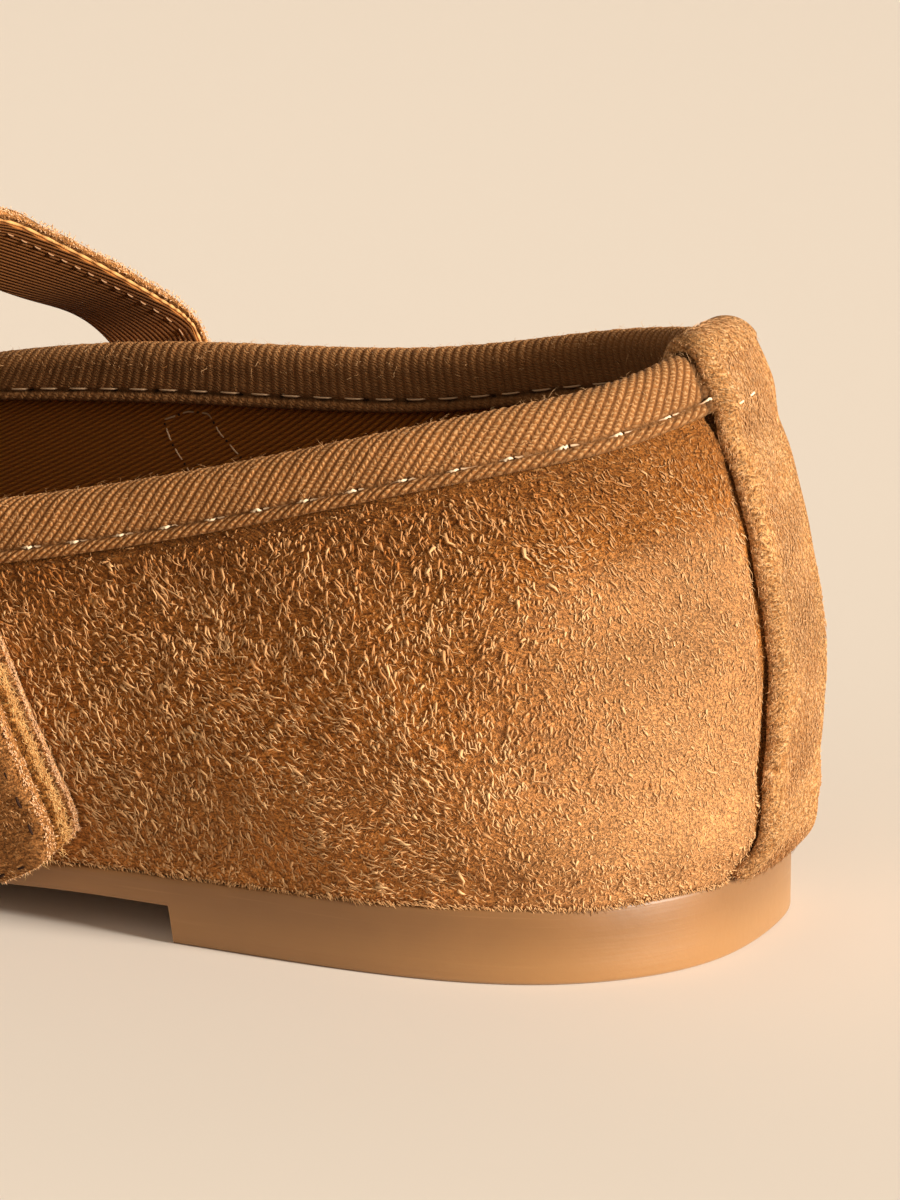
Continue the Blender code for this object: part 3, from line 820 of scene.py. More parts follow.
def make_rubber():
    """Cloudy rubber with long fine scratches, painted paler towards the floor as light from below,
    under a dusty sheen.
    """
    material = new_finish("gum_rubber", 0.48, 0.6, 0.25, 0.6, GUM_BLOOM)
    shader = material.node_tree.nodes["Principled BSDF"]
    shader.inputs["Subsurface Weight"].default_value = 0.18
    shader.inputs["Subsurface Radius"].default_value = (1.0, 0.65, 0.38)
    shader.inputs["Subsurface Scale"].default_value = 3.0 * MM
    place = node(material, "ShaderNodeTexCoord").outputs["Object"]
    cloud = noise(material, place, 60.0, 3.0)[0]
    haze = noise(material, place, 900.0, 3.0, 0.6)[0]
    streaks = node(material, "ShaderNodeMapping",
                   {"Vector": place, "Scale": (60.0, 60.0, 2600.0)}).outputs[0]
    scratch = noise(material, streaks, 1.0, 2.0)[0]
    colour = mixed(material, spread(material, cloud, 0.3, 0.7), GUM_DARK, GUM_MID)
    colour = mixed(material, spread(material, scratch, 0.62, 0.8, 0.0, 0.18), colour, GUM_SCRATCH)
    height = node(material, "ShaderNodeSeparateXYZ", {0: place}).outputs[2]
    low_part = spread(material, height, 1.0 * MM, 7.0 * MM, 0.55, 0.0)
    colour = mixed(material, low_part, colour, GUM_LOW)
    normal = bump(material, haze, 0.02 * MM)
    normal = bump(material, scratch, 0.02 * MM, normal)
    return wear(material, colour, normal)


def make_outsole():
    """Rings with rounded edges; at the breast the foot steps from the floor to the thin sole."""
    breast = np.array([HEEL_LENGTH, HEEL_LENGTH + BREAST_SLOPE])
    # Two angles on each side stand exactly at the breast's two ends, and no other is near them
    half = np.linspace(0.0, np.pi, 241)
    clear = np.abs(SOLE_LENGTH * share_of_length(half) - breast.mean()) > 0.9 * MM
    half = np.sort(np.append(half[clear], np.arccos(1.0 - 2.0 * breast / SOLE_LENGTH)))
    angle = np.append(half, TURN - half[-2:0:-1])
    station = SOLE_LENGTH * share_of_length(angle)
    top = thin_underside(station) + THIN_SOLE
    foot = np.where(station < breast.mean(), 0.0, thin_underside(station))
    turns = np.radians([90.0, 60.0, 30.0, 0.0])
    levels = [(TOP_EDGE * (1.0 - np.cos(turn)), top - TOP_EDGE * (1.0 - np.sin(turn)))
              for turn in turns]
    levels += [(0.0, top + (foot - top) * share) for share in (0.35, 0.55, 0.75)]
    levels += [(FOOT_EDGE * (1.0 - np.cos(turn)), foot + FOOT_EDGE * (1.0 - np.sin(turn)))
               for turn in turns[::-1]]
    rings = rounded_rings(angle, levels)
    near = np.abs(station - breast.mean()) < MM
    rings[:, near, 0] = station[near]
    slab_piece("gum_outsole", rings, rubber, ("outsole",), SHARP_ANGLE)


rubber = make_rubber()
make_outsole()

# %% [markdown]
# ## The topline binding
# A twill tape is folded over the suede's edge and sewn through. Its ribs lean towards the heel,
# a stitch lies in its own furrow every five millimetres, and below the furrow the tape's turned
# edge swells like a cord. Ribs of bump would look flat along the opening, so they are real: the
# grid's columns lean with the ribs, and five columns draw each rib.

# %% Binding shape
STITCH_DROP = 3.35 * MM           # furrow, down from the edge of the upper
STITCH_PITCH = 5.2 * MM
RIB_LEAN = -0.60                  # sideways for each length down the outside
INNER_LEAN = 0.15                 # the same past the fold, down the inside
EDGE_LEAN = -1.1                  # the same in the turned edge
RIB_HEIGHT = 0.20 * MM
COLUMNS_PER_RIB = 5
TAPE_ROUND = WALL / 2.0 + GAP + TAPE  # radius of the fold's outside
FOLD = np.pi * TAPE_ROUND         # its length, from the outside over to the inside
STITCHES = int(round(RING_TOTAL / STITCH_PITCH))
RIBS = int(round(RING_TOTAL / (RIB_PITCH * MM)))
print("%d ribs and %d stitches" % (RIBS, STITCHES))


def angle_at(length):
    """The ring's angle at a distance round the opening from the back seam."""
    return np.interp(np.mod(length, RING_TOTAL), ring_length, ring_fine)


def on_tape(length, drop, lift):
    """Point of the tape, a distance round, at a drop down the outside, and a lift off its face.

    A drop below zero is over the fold: down to minus the half round's length, then down the
    inside of the collar.
    """
    length, drop, lift = np.broadcast_arrays(length, drop, lift)
    angle = angle_at(length)
    turn = np.clip(-drop, 0.0, FOLD) / TAPE_ROUND
    inner_drop = np.clip(-drop - FOLD, 0.0, None)
    outer_drop = np.clip(drop, 0.0, None)
    _, up_way, out = surface_frame(angle, np.ones_like(angle))
    up = unit(up_way)
    middle = upper_surface(angle, np.ones_like(angle)) - out * WALL / 2.0
    radius = (TAPE_ROUND + lift)[..., None]
    fold = middle + radius * (np.cos(turn)[..., None] * out + np.sin(turn)[..., None] * up)
    outside = off_surface(angle, below_edge(angle, outer_drop), GAP + TAPE + lift)
    inside = off_surface(angle, below_edge(angle, inner_drop), -WALL - GAP - TAPE - lift)
    place = drop[..., None]
    return np.where(place > 0.0, outside, np.where(place < -FOLD, inside, fold))


def rib_shift(drop):
    """How far a rib has leaned at a drop: steeper in the turned edge below the furrow."""
    middle = -FOLD / 2.0
    return (RIB_LEAN * np.clip(drop, middle, None) + INNER_LEAN * np.clip(drop - middle, None, 0.0)
            + (EDGE_LEAN - RIB_LEAN) * np.clip(drop - STITCH_DROP, 0.0, None))


# %% Ribs, furrow and stitch holes


def tape_relief(length, column, drop):
    """Ribs, furrow, turned edge and stitch holes on the tape's face, and the tone of each.

    The tone paints shade in the furrow, the stitch holes, the tucked edge and inside the collar.
    Beside the back strip the tape is pressed down, with a painted shadow in the crevice there, and
    the tone is a little darker towards the strip.
    """
    depth = np.where(drop > -FOLD / 2.0, drop, -drop - FOLD)
    rib = np.abs(np.cos(np.pi * column * RIBS / RING_TOTAL)) ** 0.7
    # Two waves of a few millimetres make some ribs a quarter higher or lower than others
    wander = np.sin(column * 2900.0 + drop * 700.0) * np.sin(column * 910.0 - drop * 400.0)
    rib = rib * (1.0 + 0.25 * wander)
    furrow = ridge(depth - STITCH_DROP, 0.24 * MM)
    edge = step_up(depth, STITCH_DROP, STITCH_DROP + 0.5 * MM)
    away = np.mod(length / RING_TOTAL * STITCHES + 0.5, 1.0) - 0.5
    away = away * RING_TOTAL / STITCHES
    hole = ridge(away, 0.30 * MM) * ridge(depth - STITCH_DROP, 0.26 * MM)
    tuck = step_up(depth, BINDING_WIDTH - 0.25 * MM, BINDING_WIDTH)
    inside = step_up(-drop, 0.35 * FOLD, 0.9 * FOLD)
    rib = rib * (1.0 - 0.45 * inside) * (1.0 + 0.35 * edge)
    lift = (rib * RIB_HEIGHT * (1.0 - 0.6 * furrow) - 0.30 * MM * furrow
            + 0.22 * MM * edge - 0.45 * MM * tuck - 0.5 * MM * hole)
    tone = (1.0 - 0.55 * furrow) * (1.0 - 0.85 * hole) * (1.0 - 0.3 * tuck) * (1.0 - 0.46 * inside)
    beside = np.minimum(np.mod(length, RING_TOTAL), np.mod(-length, RING_TOTAL)) - STRIP_WIDTH / 2.0
    # Pressed down beside the strip, with a painted shadow in the crevice
    pressed_and_shaded = ridge(beside - 0.30 * MM, 0.50 * MM)
    lift = lift - 0.50 * MM * pressed_and_shaded
    near_back = 1.0 - step_up(beside, 4.0 * MM, 45.0 * MM)
    return lift, tone * (1.0 - 0.80 * pressed_and_shaded) * (1.0 - 0.24 * near_back)


# %% Binding


def make_binding():
    """Closed section: up the outside, over the fold, down the inside and back close to the wall."""
    furrow = STITCH_DROP + np.array([-0.2, 0.05, 0.3, 0.65, 1.0]) * MM
    leg = np.concatenate([np.linspace(0.0, STITCH_DROP - 0.5 * MM, 5), furrow, [BINDING_WIDTH]])
    over = -np.linspace(0.0, FOLD, 10)[1:-1]
    drops = np.concatenate([leg[::-1], over, -FOLD - leg])
    columns = RIBS * COLUMNS_PER_RIB
    column = np.arange(columns)[:, None] * RING_TOTAL / columns
    length = column - rib_shift(drops)[None, :]
    lift, tone = tape_relief(length, column, drops[None, :])
    face = on_tape(length, drops[None, :], lift)
    under_drops = drops[[-1, len(drops) // 2, 0]]
    under_length = column - rib_shift(under_drops)[None, :]
    under = on_tape(under_length, under_drops[None, :], -TAPE + 0.05 * MM)
    along = np.arange(columns + 1) * RIB_PITCH / COLUMNS_PER_RIB
    across = np.concatenate([drops, under_drops, drops[:1]]) / MM
    # The under face, tucked against the wall, is painted in shade
    shade = np.concatenate([tone, np.full(under.shape[:2], 0.6)], axis=1)
    hoop_piece("twill_binding", np.concatenate([face, under], axis=1), tape_cloth,
               ("topline_binding",), along, across, shade)


make_binding()

# %% [markdown]
# ## Bands of suede
# The back strip and the strap are flat bands that follow another surface. Each is a grid of
# cross sections: a section goes over the top from edge to edge and back underneath, with its
# edges rounded as cut suede is, and the two ends are closed. A curve with a flat bevel would
# twist on such a path; here the outward direction of every point is known, so nothing twists.

# %% Band helper
BAND_COLUMNS = 25
EDGE_CROWDING = 2.2               # power that draws the columns towards both edges


def closer_columns(values, x):
    """Values of a grid at the places x, from -1 to 1, in a straight line between its columns."""
    place = (x + 1.0) / 2.0 * (values.shape[1] - 1)
    first = np.clip(place.astype(int), 0, values.shape[1] - 2)
    share = (place - first).reshape((1, -1) + (1,) * (values.ndim - 2))
    return values[:, first] * (1.0 - share) + values[:, first + 1] * share


def band_piece(name, under, out, low, high, material, replaced=(), roundness=6.0):
    """A band from a grid (row, column, xyz) and its outward vectors.

    low and high are the heights of its two faces at each point; the top comes down at the edges
    as (1 - x ** roundness) to the half, where x runs from -1 to 1 across the band, and the
    columns stand closer together towards both edges.
    """
    rows = len(under)
    u = np.linspace(-1.0, 1.0, BAND_COLUMNS)
    x = np.sign(u) * (1.0 - (1.0 - np.abs(u)) ** EDGE_CROWDING)
    low = closer_columns(np.broadcast_to(low, under.shape[:2]), x)
    high = closer_columns(np.broadcast_to(high, under.shape[:2]), x)
    out = unit(closer_columns(out, x))
    under = closer_columns(under, x)
    crown = np.sqrt(np.clip(1.0 - np.abs(x) ** roundness, 0.0, 1.0))
    top = under + out * (low + (high - low) * (0.12 + 0.88 * crown))[..., None]
    bottom = under + out * (low + (high - low) * 0.06 * (1.0 - crown))[..., None]
    sections = np.concatenate([top, bottom[:, ::-1]], axis=1)
    corners = 2 * BAND_COLUMNS
    faces, row, column = grid_quads(rows, corners, False, True)
    across = run_length(under[rows // 2]) / MM
    across = np.concatenate([across, across[::-1], across[:1]])
    along = run_length(under[:, BAND_COLUMNS // 2]) / MM
    uv = np.stack([along[row], across[column]], axis=-1)
    cap = np.arange(BAND_COLUMNS - 1)
    cap = np.stack([cap, cap + 1, corners - cap - 2, corners - cap - 1], axis=-1)
    last = cap + (rows - 1) * corners
    parts = [faces[:, ::-1], cap, last[:, ::-1]]
    maps = np.concatenate([uv[:, ::-1].reshape(-1, 2), np.zeros((2 * cap.size, 2))])
    mesh = fill_mesh(name, sections.reshape(-1, 3), parts, maps)
    return lay(name, mesh, material, replaced)


# %% [markdown]
# ## The back strip
# A strip of the same suede covers the seam at the back, goes over the binding as a soft roll and
# ends inside the collar. Its edges are folded under, so they stand a little higher than its
# middle. Its rows are read from the last itself: up the back, round the fold and down inside.

# %% Back strip
STRIP_FOOT = 0.8 * MM             # it starts this far above the upper's foot
STRIP_INSIDE = 8.0 * MM           # and reaches down inside the collar by this
STRIP_THICKNESS = 1.3 * MM
STRIP_COLUMNS = 33
STRIP_BACK_ROWS = 110             # rows up the back, before the fold
OVER_TAPE = GAP + TAPE + GAP
strip_start = STRIP_FOOT / (BACK_HEIGHT - THIN_SOLE - HEEL_LIFT)


def angle_across_back(t, y):
    """Angles near the back seam where the surface at t has these distances from the middle."""
    near = np.linspace(-STRIP_WIDTH, STRIP_WIDTH, 81) / BALL_WIDTH * np.pi
    return np.interp(y, upper_surface(near, np.full_like(near, t))[:, 1], near)


def strip_rows():
    """Points of the last, outward vectors and clear heights under the strip, row by row."""
    y = STRIP_WIDTH * np.linspace(-0.5, 0.5, STRIP_COLUMNS)
    tape_foot = below_edge(np.zeros(1), np.array([BINDING_WIDTH + 0.9 * MM]))[0]
    points, outs, lows = [], [], []
    for t in np.linspace(strip_start, 1.0, STRIP_BACK_ROWS):
        wander = 0.14 * MM * np.sin(t * 23.0) + 0.08 * MM * np.sin(t * 51.0 + 1.0)
        angle = angle_across_back(t, y + wander)
        climb = step_up(t, tape_foot - 0.05, tape_foot + 0.03)
        points.append(upper_surface(angle, np.full_like(y, t)))
        outs.append(surface_frame(angle, np.full_like(y, t))[2])
        lows.append(GAP + TAPE * climb + heel_roll(angle, np.full_like(y, t)))
    angle = angle_across_back(1.0, y)
    _, up_way, out = surface_frame(angle, np.ones_like(angle))
    edge = upper_surface(angle, np.ones_like(angle)) - out * WALL / 2.0
    for turn in np.linspace(0.0, np.pi, 26)[1:-1]:
        way = np.cos(turn) * out + np.sin(turn) * unit(up_way)
        points.append(edge + way * WALL / 2.0)
        outs.append(way)
        lows.append(np.full_like(y, OVER_TAPE))
    for drop in np.linspace(0.0, STRIP_INSIDE, 16):
        t = below_edge(angle, drop)
        out = surface_frame(angle, t)[2]
        points.append(upper_surface(angle, t) - out * WALL)
        outs.append(-out)
        lows.append(np.full_like(y, OVER_TAPE))
    return np.array(points), np.array(outs), np.array(lows)


strip_points, strip_outs, strip_lows = strip_rows()
# The edges are pressed down on what lies under them
strip_lows = strip_lows - 0.25 * MM * np.abs(np.linspace(-1.0, 1.0, STRIP_COLUMNS)) ** 10


def make_back_strip():
    """The strip's thickness varies softly, and its folded edges are a fifth thicker.

    It is pulled tight, so a little thinner, where it rounds the fold.
    """
    x = np.linspace(-1.0, 1.0, STRIP_COLUMNS)
    fold = 1.0 + 0.22 * ridge(np.abs(x) - 0.80, 0.13)
    soft = 1.0 + 0.04 * drifting(strip_points, 7.0 * MM, 11)
    row = np.arange(len(strip_points))[:, None]
    tight = 1.0 - 0.04 * step_up(row, 97, 103) * (1.0 - step_up(row, 107, 116))
    high = strip_lows + STRIP_THICKNESS * fold * soft * tight
    band_piece("back_strip_suede", strip_points, strip_outs, strip_lows, high, strip_suede,
               ("back_strip",), 8.0)


strip_suede = make_suede("strip_suede", srgb(164, 108, 56), srgb(208, 154, 98),
                         srgb(230, 186, 138), 0.5)
make_back_strip()

# %% [markdown]
# ## The strap
# The strap leans forward in one flat plane. It is sewn on outside the inner quarter, arches
# freely over the instep and closes on the outer quarter. Outside it is suede with cut edges; its
# inner face is twill tape, and a thin golden cord shows between the two. Both ends lie on a
# quarter's own surface, and the free part is a straight line between them that is lifted along
# the lean by a table of rises, so its curve can be set without moving what is sewn.

# %% Strap path
STRAP_WIDTH = 12.0 * MM
STRAP_THICKNESS = 2.0 * MM
STRAP_LEAN = np.radians(23.0)     # forward of upright
STRAP_FOOT = 65.5 * MM            # station where the strap's middle would meet the floor
STRAP_TIP = 8.6 * MM              # height of its tip along the lean
STRAP_POINT = 4.5 * MM            # length of the rounded tip
SEWN_LENGTH = 21.0 * MM           # on the inner quarter
PASS_EDGE = 1.2 * MM              # it follows the quarter this far past the topline
ARCH_RISE = 21.5 * MM             # of the free part over the instep
TIP_BLUNTNESS = 0.36              # power of the tip's half width: 1 is round, less is blunter
PILE_THICKNESS = 1.4 * MM
PILE_MARGIN = 0.5 * MM            # the pile shows this far beside the strap
BASE_THICKNESS = 0.9 * MM
BASE_MARGIN = 1.2 * MM            # and the patch this far
PATCH_LENGTH = 25.0 * MM
STRAP_COLUMNS = 17
QUARTER_ROWS = 40                 # rows of a straight part that lies on a quarter
TIP_ROWS = 14
ARCH_ROWS = 90
FRONT_LIFT = 1.8 * MM             # the free strap turns its front edge up by this
FRONT_NARROW = 1.2 * MM           # and gathers it backwards by this at the collar
STRAP_ARCH = (
    # share of the way across, rise as a share of ARCH_RISE
    (0.00, 0.00),
    (0.03, 0.02),
    (0.07, 0.11),
    (0.12, 0.23),
    (0.21, 0.41),
    (0.31, 0.60),
    (0.43, 0.82),
    (0.57, 0.97),
    (0.71, 0.98),
    (0.83, 0.87),
    (0.92, 0.63),
    (0.98, 0.28),
    (1.00, 0.00),
)


# %% Places on the strap and on a quarter


def on_lean(x, z):
    """Height along the strap's lean and distance across it, for stations and heights."""
    ahead = x - STRAP_FOOT
    height = ahead * np.sin(STRAP_LEAN) + z * np.cos(STRAP_LEAN)
    return height, ahead * np.cos(STRAP_LEAN) - z * np.sin(STRAP_LEAN)


def find_on_surface(x, z, outer_side=True):
    """Angle and t of points with these stations and heights, by Newton's steps."""
    share = np.clip(x / SOLE_LENGTH, 0.0, 1.0)
    angle = np.arccos(1.0 - 2.0 * share)
    if not outer_side:
        angle = TURN - angle
    t = (z - thin_underside(x) - THIN_SOLE) / BACK_HEIGHT
    for _ in range(12):
        miss = upper_surface(angle, t) - np.stack([x, np.zeros_like(x), z], axis=-1)
        round_way, up_way, _ = surface_frame(angle, t)
        size = round_way[..., 0] * up_way[..., 2] - round_way[..., 2] * up_way[..., 0]
        angle = angle - (miss[..., 0] * up_way[..., 2] - miss[..., 2] * up_way[..., 0]) / size
        t = t - (round_way[..., 0] * miss[..., 2] - round_way[..., 2] * miss[..., 0]) / size
    return angle, t


def quarter_rows(heights, half_widths, offset, outer_side):
    """Rows of points across the strap on one quarter, at a distance from its outside."""
    across = np.linspace(-1.0, 1.0, STRAP_COLUMNS)[None, :] * half_widths[:, None]
    x = STRAP_FOOT + heights[:, None] * np.sin(STRAP_LEAN) + across * np.cos(STRAP_LEAN)
    z = heights[:, None] * np.cos(STRAP_LEAN) - across * np.sin(STRAP_LEAN)
    angle, t = find_on_surface(x, z, outer_side)
    return off_surface(angle, t, np.asarray(offset).reshape(-1, 1) * np.ones_like(angle))


def edge_heights(outer_side):
    """Lowest and highest place of the topline along the lean, within the strap's width."""
    angle = np.linspace(0.0, np.pi, 721)
    if not outer_side:
        angle = TURN - angle
    edge = topline(angle)
    height, across = on_lean(edge[:, 0], edge[:, 2])
    met = height[np.abs(across) < STRAP_WIDTH / 2.0]
    return met.min(), met.max()


def tip_rows(margin):
    """Heights and half widths of the rounded tip, from the point up to the full width."""
    turn = np.radians(np.linspace(5.0, 90.0, TIP_ROWS))
    heights = STRAP_TIP + STRAP_POINT * (1.0 - np.cos(turn))
    return heights, (STRAP_WIDTH / 2.0 + margin) * np.sin(turn) ** TIP_BLUNTNESS


# %% From the sewn end over the arch to the closed end
CLOSURE_STACK = GAP + BASE_THICKNESS + GAP + PILE_THICKNESS + GAP


def soften(path, first, last, rounds):
    """Moves the rows from first to last towards the mean of their neighbours, round by round."""
    for _ in range(rounds):
        before = path[first - 1:last - 1]
        after = path[first + 1:last + 1]
        path[first:last] = (before + 2.0 * path[first:last] + after) / 4.0


def strap_path():
    """The strap's under face: sewn end, free arch and closed end, and where each row belongs."""
    half = STRAP_WIDTH / 2.0
    lowest, highest = edge_heights(False)
    low = np.linspace(highest - SEWN_LENGTH, highest + PASS_EDGE, QUARTER_ROWS)
    tape_foot = lowest - BINDING_WIDTH - 0.9 * MM
    clear = GAP + (OVER_TAPE - GAP) * step_up(low, tape_foot - 2.0 * MM, tape_foot)
    inner = quarter_rows(low, np.full_like(low, half), clear, False)
    tip_heights, tip_halves = tip_rows(0.0)
    outer_top = edge_heights(True)[1] + PASS_EDGE
    straight = np.linspace(tip_heights[-1], outer_top, QUARTER_ROWS)[1:]
    heights = np.append(tip_heights, straight)
    halves = np.append(tip_halves, np.full_like(straight, half))
    outer = quarter_rows(heights, halves, np.full_like(heights, CLOSURE_STACK), True)[::-1]
    lean_up = np.array([np.sin(STRAP_LEAN), 0.0, np.cos(STRAP_LEAN)])
    across, rise = side_columns(STRAP_ARCH)
    turn = np.linspace(0.0, np.pi, ARCH_ROWS + 2)[1:-1]
    way = share_of_length(turn)[:, None, None]
    lift = ARCH_RISE * round_ring(across, rise, -rise, turn)[:, None, None]
    arch = inner[-1] + way * (outer[0] - inner[-1]) + lift * lean_up
    path = np.concatenate([inner, arch, outer])
    # A little everywhere, and more where the arch leaves the inner quarter in a wide bend
    soften(path, len(inner) // 2, len(path) - 30, 10)
    soften(path, len(inner) - 3, len(inner) + 40, 110)
    front = np.linspace(0.0, 1.0, STRAP_COLUMNS)[None, :] ** 1.5
    past_collar = np.arange(len(path))[:, None] - float(len(inner))
    path[..., 2] += FRONT_LIFT * front * ridge(past_collar - 15.0, 11.0)
    path[..., 0] -= FRONT_NARROW * front * ridge(past_collar - 2.0, 12.0)
    return path, len(inner), len(outer)


strap_under, SEWN_ROWS, CLOSED_ROWS = strap_path()


def band_outs(rows):
    """Unit vectors away from the foot, from the grid's two directions."""
    return unit(np.cross(np.gradient(rows, axis=1), np.gradient(rows, axis=0)))


strap_outs = band_outs(strap_under)
strap_rows = np.arange(len(strap_under))
# From 0 on the free arch to 1 where the closed end lies on its pile
closing = step_up(strap_rows, len(strap_rows) - CLOSED_ROWS - 12, len(strap_rows) - CLOSED_ROWS + 8)
print("strap %.0f mm long" % (run_length(strap_under[:, STRAP_COLUMNS // 2])[-1] / MM))

# %% Strap layers
STRAP_TAPE = 0.75 * MM
TAPE_SETBACK = 1.0 / 24.0         # the tape stops short of the rear edge by this share
TAPE_PAST_CLOSING = 22            # rows that it goes on for under the closed end
tape_high = (STRAP_TAPE * (1.0 - 0.85 * closing))[:, None] * np.ones(STRAP_COLUMNS)


def make_strap():
    """Suede above, tape below and narrower; towards the closed end the suede is the whole."""
    high = STRAP_THICKNESS * (1.0 + 0.08 * drifting(strap_under, 6.0 * MM, 21))
    band_piece("strap_suede", strap_under, strap_outs, tape_high + 0.05 * MM, high, strap_suede,
               ("strap",), 12.0)
    narrow = closer_columns(strap_under, np.linspace(2.0 * TAPE_SETBACK - 1.0, 0.985, STRAP_COLUMNS))
    rows = slice(0, len(strap_under) - CLOSED_ROWS + TAPE_PAST_CLOSING)
    band_piece("strap_tape", narrow[rows], strap_outs[rows], 0.0, tape_high[rows],
               strap_cloth, (), 12.0)


strap_suede = make_suede("strap_suede", srgb(126, 78, 36), srgb(182, 122, 66), srgb(222, 166, 108))
strap_cloth = make_lining_cloth("strap_twill", 0.62, -0.15, srgb(106, 60, 20), srgb(164, 102, 46))
make_strap()

# %% [markdown]
# ## The closure
# The closed end is held by two layers that look like a fuzzy touch fastener: a thin patch of
# suede fixed on the outer quarter, and a golden pile between it and the strap. Both are bands
# along the strap's own lean, each a little wider than what lies on it, so that every edge shows.

# %% Closure layers


def closure_rows(margin, clear):
    """Rows of one layer of the closure, from its tip up."""
    heights, halves = tip_rows(margin)
    straight = np.linspace(heights[-1], STRAP_TIP + PATCH_LENGTH, QUARTER_ROWS)[1:]
    heights = np.append(heights, straight)
    halves = np.append(halves, np.full_like(straight, STRAP_WIDTH / 2.0 + margin))
    return quarter_rows(heights, halves, np.full_like(heights, clear), True)[::-1]


closure_base = closure_rows(BASE_MARGIN, GAP)
closure_pile = closure_rows(PILE_MARGIN, GAP + BASE_THICKNESS + GAP)


def make_closure():
    """Two bands of even thickness, one on the other."""
    band_piece("closure_patch", closure_base, band_outs(closure_base), 0.0, BASE_THICKNESS,
               patch_suede, ("closure_base",))
    band_piece("closure_fuzz", closure_pile, band_outs(closure_pile), 0.0, PILE_THICKNESS,
               fuzz, ("closure_pile",))


patch_suede = make_suede("patch_suede", srgb(196, 128, 70), srgb(230, 168, 104), srgb(250, 204, 150))
fuzz = make_suede("fuzz", srgb(150, 90, 38), srgb(212, 142, 70), srgb(246, 190, 116))
make_closure()

# %% [markdown]
# ## Nap that stands up
# Bump alone looks painted when the light comes along a surface. The longer nap is therefore
# real: each tuft is a closed spindle, a millimetre long and flat, bent over in the direction in
# which the suede was brushed. Thousands of them are one joined mesh, worked out as whole
# arrays; a tuft with one bend has six triangles, and one with two bends has twelve.

# %% Fibres
BENDS = {
    # share of the length, height, sideways, width, for each bend of a fibre
    1: ((0.26, 0.85, 0.00, 1.00),),
    2: ((0.17, 0.75, 0.20, 1.00), (0.58, 1.05, -0.35, 0.70)),
}


def fibre_mesh(name, roots, outs, ways, lengths, widths, rise, curl, tones, chance, bends=1):
    """Spindles from roots (n, 3) along ways, with outs the surface's normals.

    The spine is a root, one or two bends and a tip. It rises to its height at the first bend
    and sinks towards the tip, and the curl swings it sideways. Three points stand round each
    bend, and root and tip are single points, so the shape is closed.
    """
    count = len(roots)
    sides = unit(np.cross(outs, ways))
    swing = (curl * chance.normal(size=count) * lengths)[:, None]
    length = lengths[:, None]
    height = (rise * chance.uniform(0.5, 1.4, count))[:, None]
    roll = chance.uniform(-0.5, 0.5, count)[:, None] + np.arange(3)[None, :] * TURN / 3.0
    flat = np.stack([np.cos(roll), 0.5 * np.sin(roll)], axis=-1) * widths[:, None, None] / 2.0
    section = flat[..., :1] * sides[:, None] + flat[..., 1:] * outs[:, None]
    parts = [(roots - outs * 0.08 * MM)[:, None]]
    for share, up, aside, width in BENDS[bends]:
        spine = roots + ways * length * share + outs * height * up + sides * swing * aside
        parts.append(spine[:, None] + section * width)
    tip = roots + ways * length + outs * height * 0.8 + sides * swing * 0.7
    points = np.concatenate(parts + [tip[:, None]], axis=1)
    turn = np.arange(3)
    after = (turn + 1) % 3
    last = 3 * bends + 1
    shapes = [np.stack([np.zeros(3, int), 1 + after, 1 + turn], axis=-1),
              np.stack([last - 3 + after, np.full(3, last), last - 3 + turn], axis=-1)]
    if bends == 2:
        shapes.append(np.stack([1 + after, 4 + after, 4 + turn, 1 + turn], axis=-1))
    start = (np.arange(count) * (last + 1))[:, None, None]
    faces = [(part[None] + start).reshape(-1, part.shape[1]) for part in shapes]
    # Each fibre is darker at the root and lighter at the tip: painted shade down in the nap
    shade = np.concatenate([[0.35], np.linspace(0.85, 1.0, 3 * bends), [1.1]])
    tone = np.clip(tones[:, None] * shade[None, :], 0.0, 1.0)
    return fill_mesh(name, points.reshape(-1, 3), faces, None, tone.ravel())


# %% How nap lies, and where it grows


def brush_way(points, out, base_turn, sway, seed):
    """Direction in the surface: down and backwards, turned by smooth fields in eddies."""
    down = unit(-UP - out * (-UP * out).sum(-1, keepdims=True))
    side = np.cross(out, down)
    turn = (base_turn + sway * drifting(points, 24.0 * MM, seed)
            + 0.6 * sway * drifting(points, 7.0 * MM, seed + 1))
    return np.cos(turn)[..., None] * down + np.sin(turn)[..., None] * side


def leaned(ways, out, amount, chance):
    """Ways turned in the surface by random angles of about this size."""
    lean = chance.normal(0.0, amount, len(ways))[:, None]
    return unit(np.cos(lean) * ways + np.sin(lean) * np.cross(out, ways))


def lay_fibres(name, roots, outs, ways, size, rises, curl, tones, chance, material, bends=1):
    """Fibres that vary about a size of length, width and rise, in millimetres.

    rises are the lowest and highest share of the rise.
    """
    length, width, rise = size
    number = len(roots)
    lengths = length * MM * chance.lognormal(0.0, 0.3, number)
    widths = width * MM * chance.uniform(0.7, 1.3, number)
    mesh = fibre_mesh(name, roots, outs, ways, lengths, widths,
                      rise * MM * chance.uniform(*rises, number), curl, tones, chance, bends)
    lay(name, mesh, material)


def mixed_tones(mean, chance, number, uneven=0.2):
    """Tones spread about a mean by a bell curve, kept between 0 and 1."""
    return np.clip(mean + uneven * chance.normal(size=number), 0.0, 1.0)


def under_strap(points, margin):
    """Whether points lie under the strap's closed end, whichever side they are on."""
    height, across = on_lean(points[:, 0], points[:, 2])
    return (np.abs(across) < STRAP_WIDTH / 2.0 + margin) & (height > STRAP_TIP - margin)


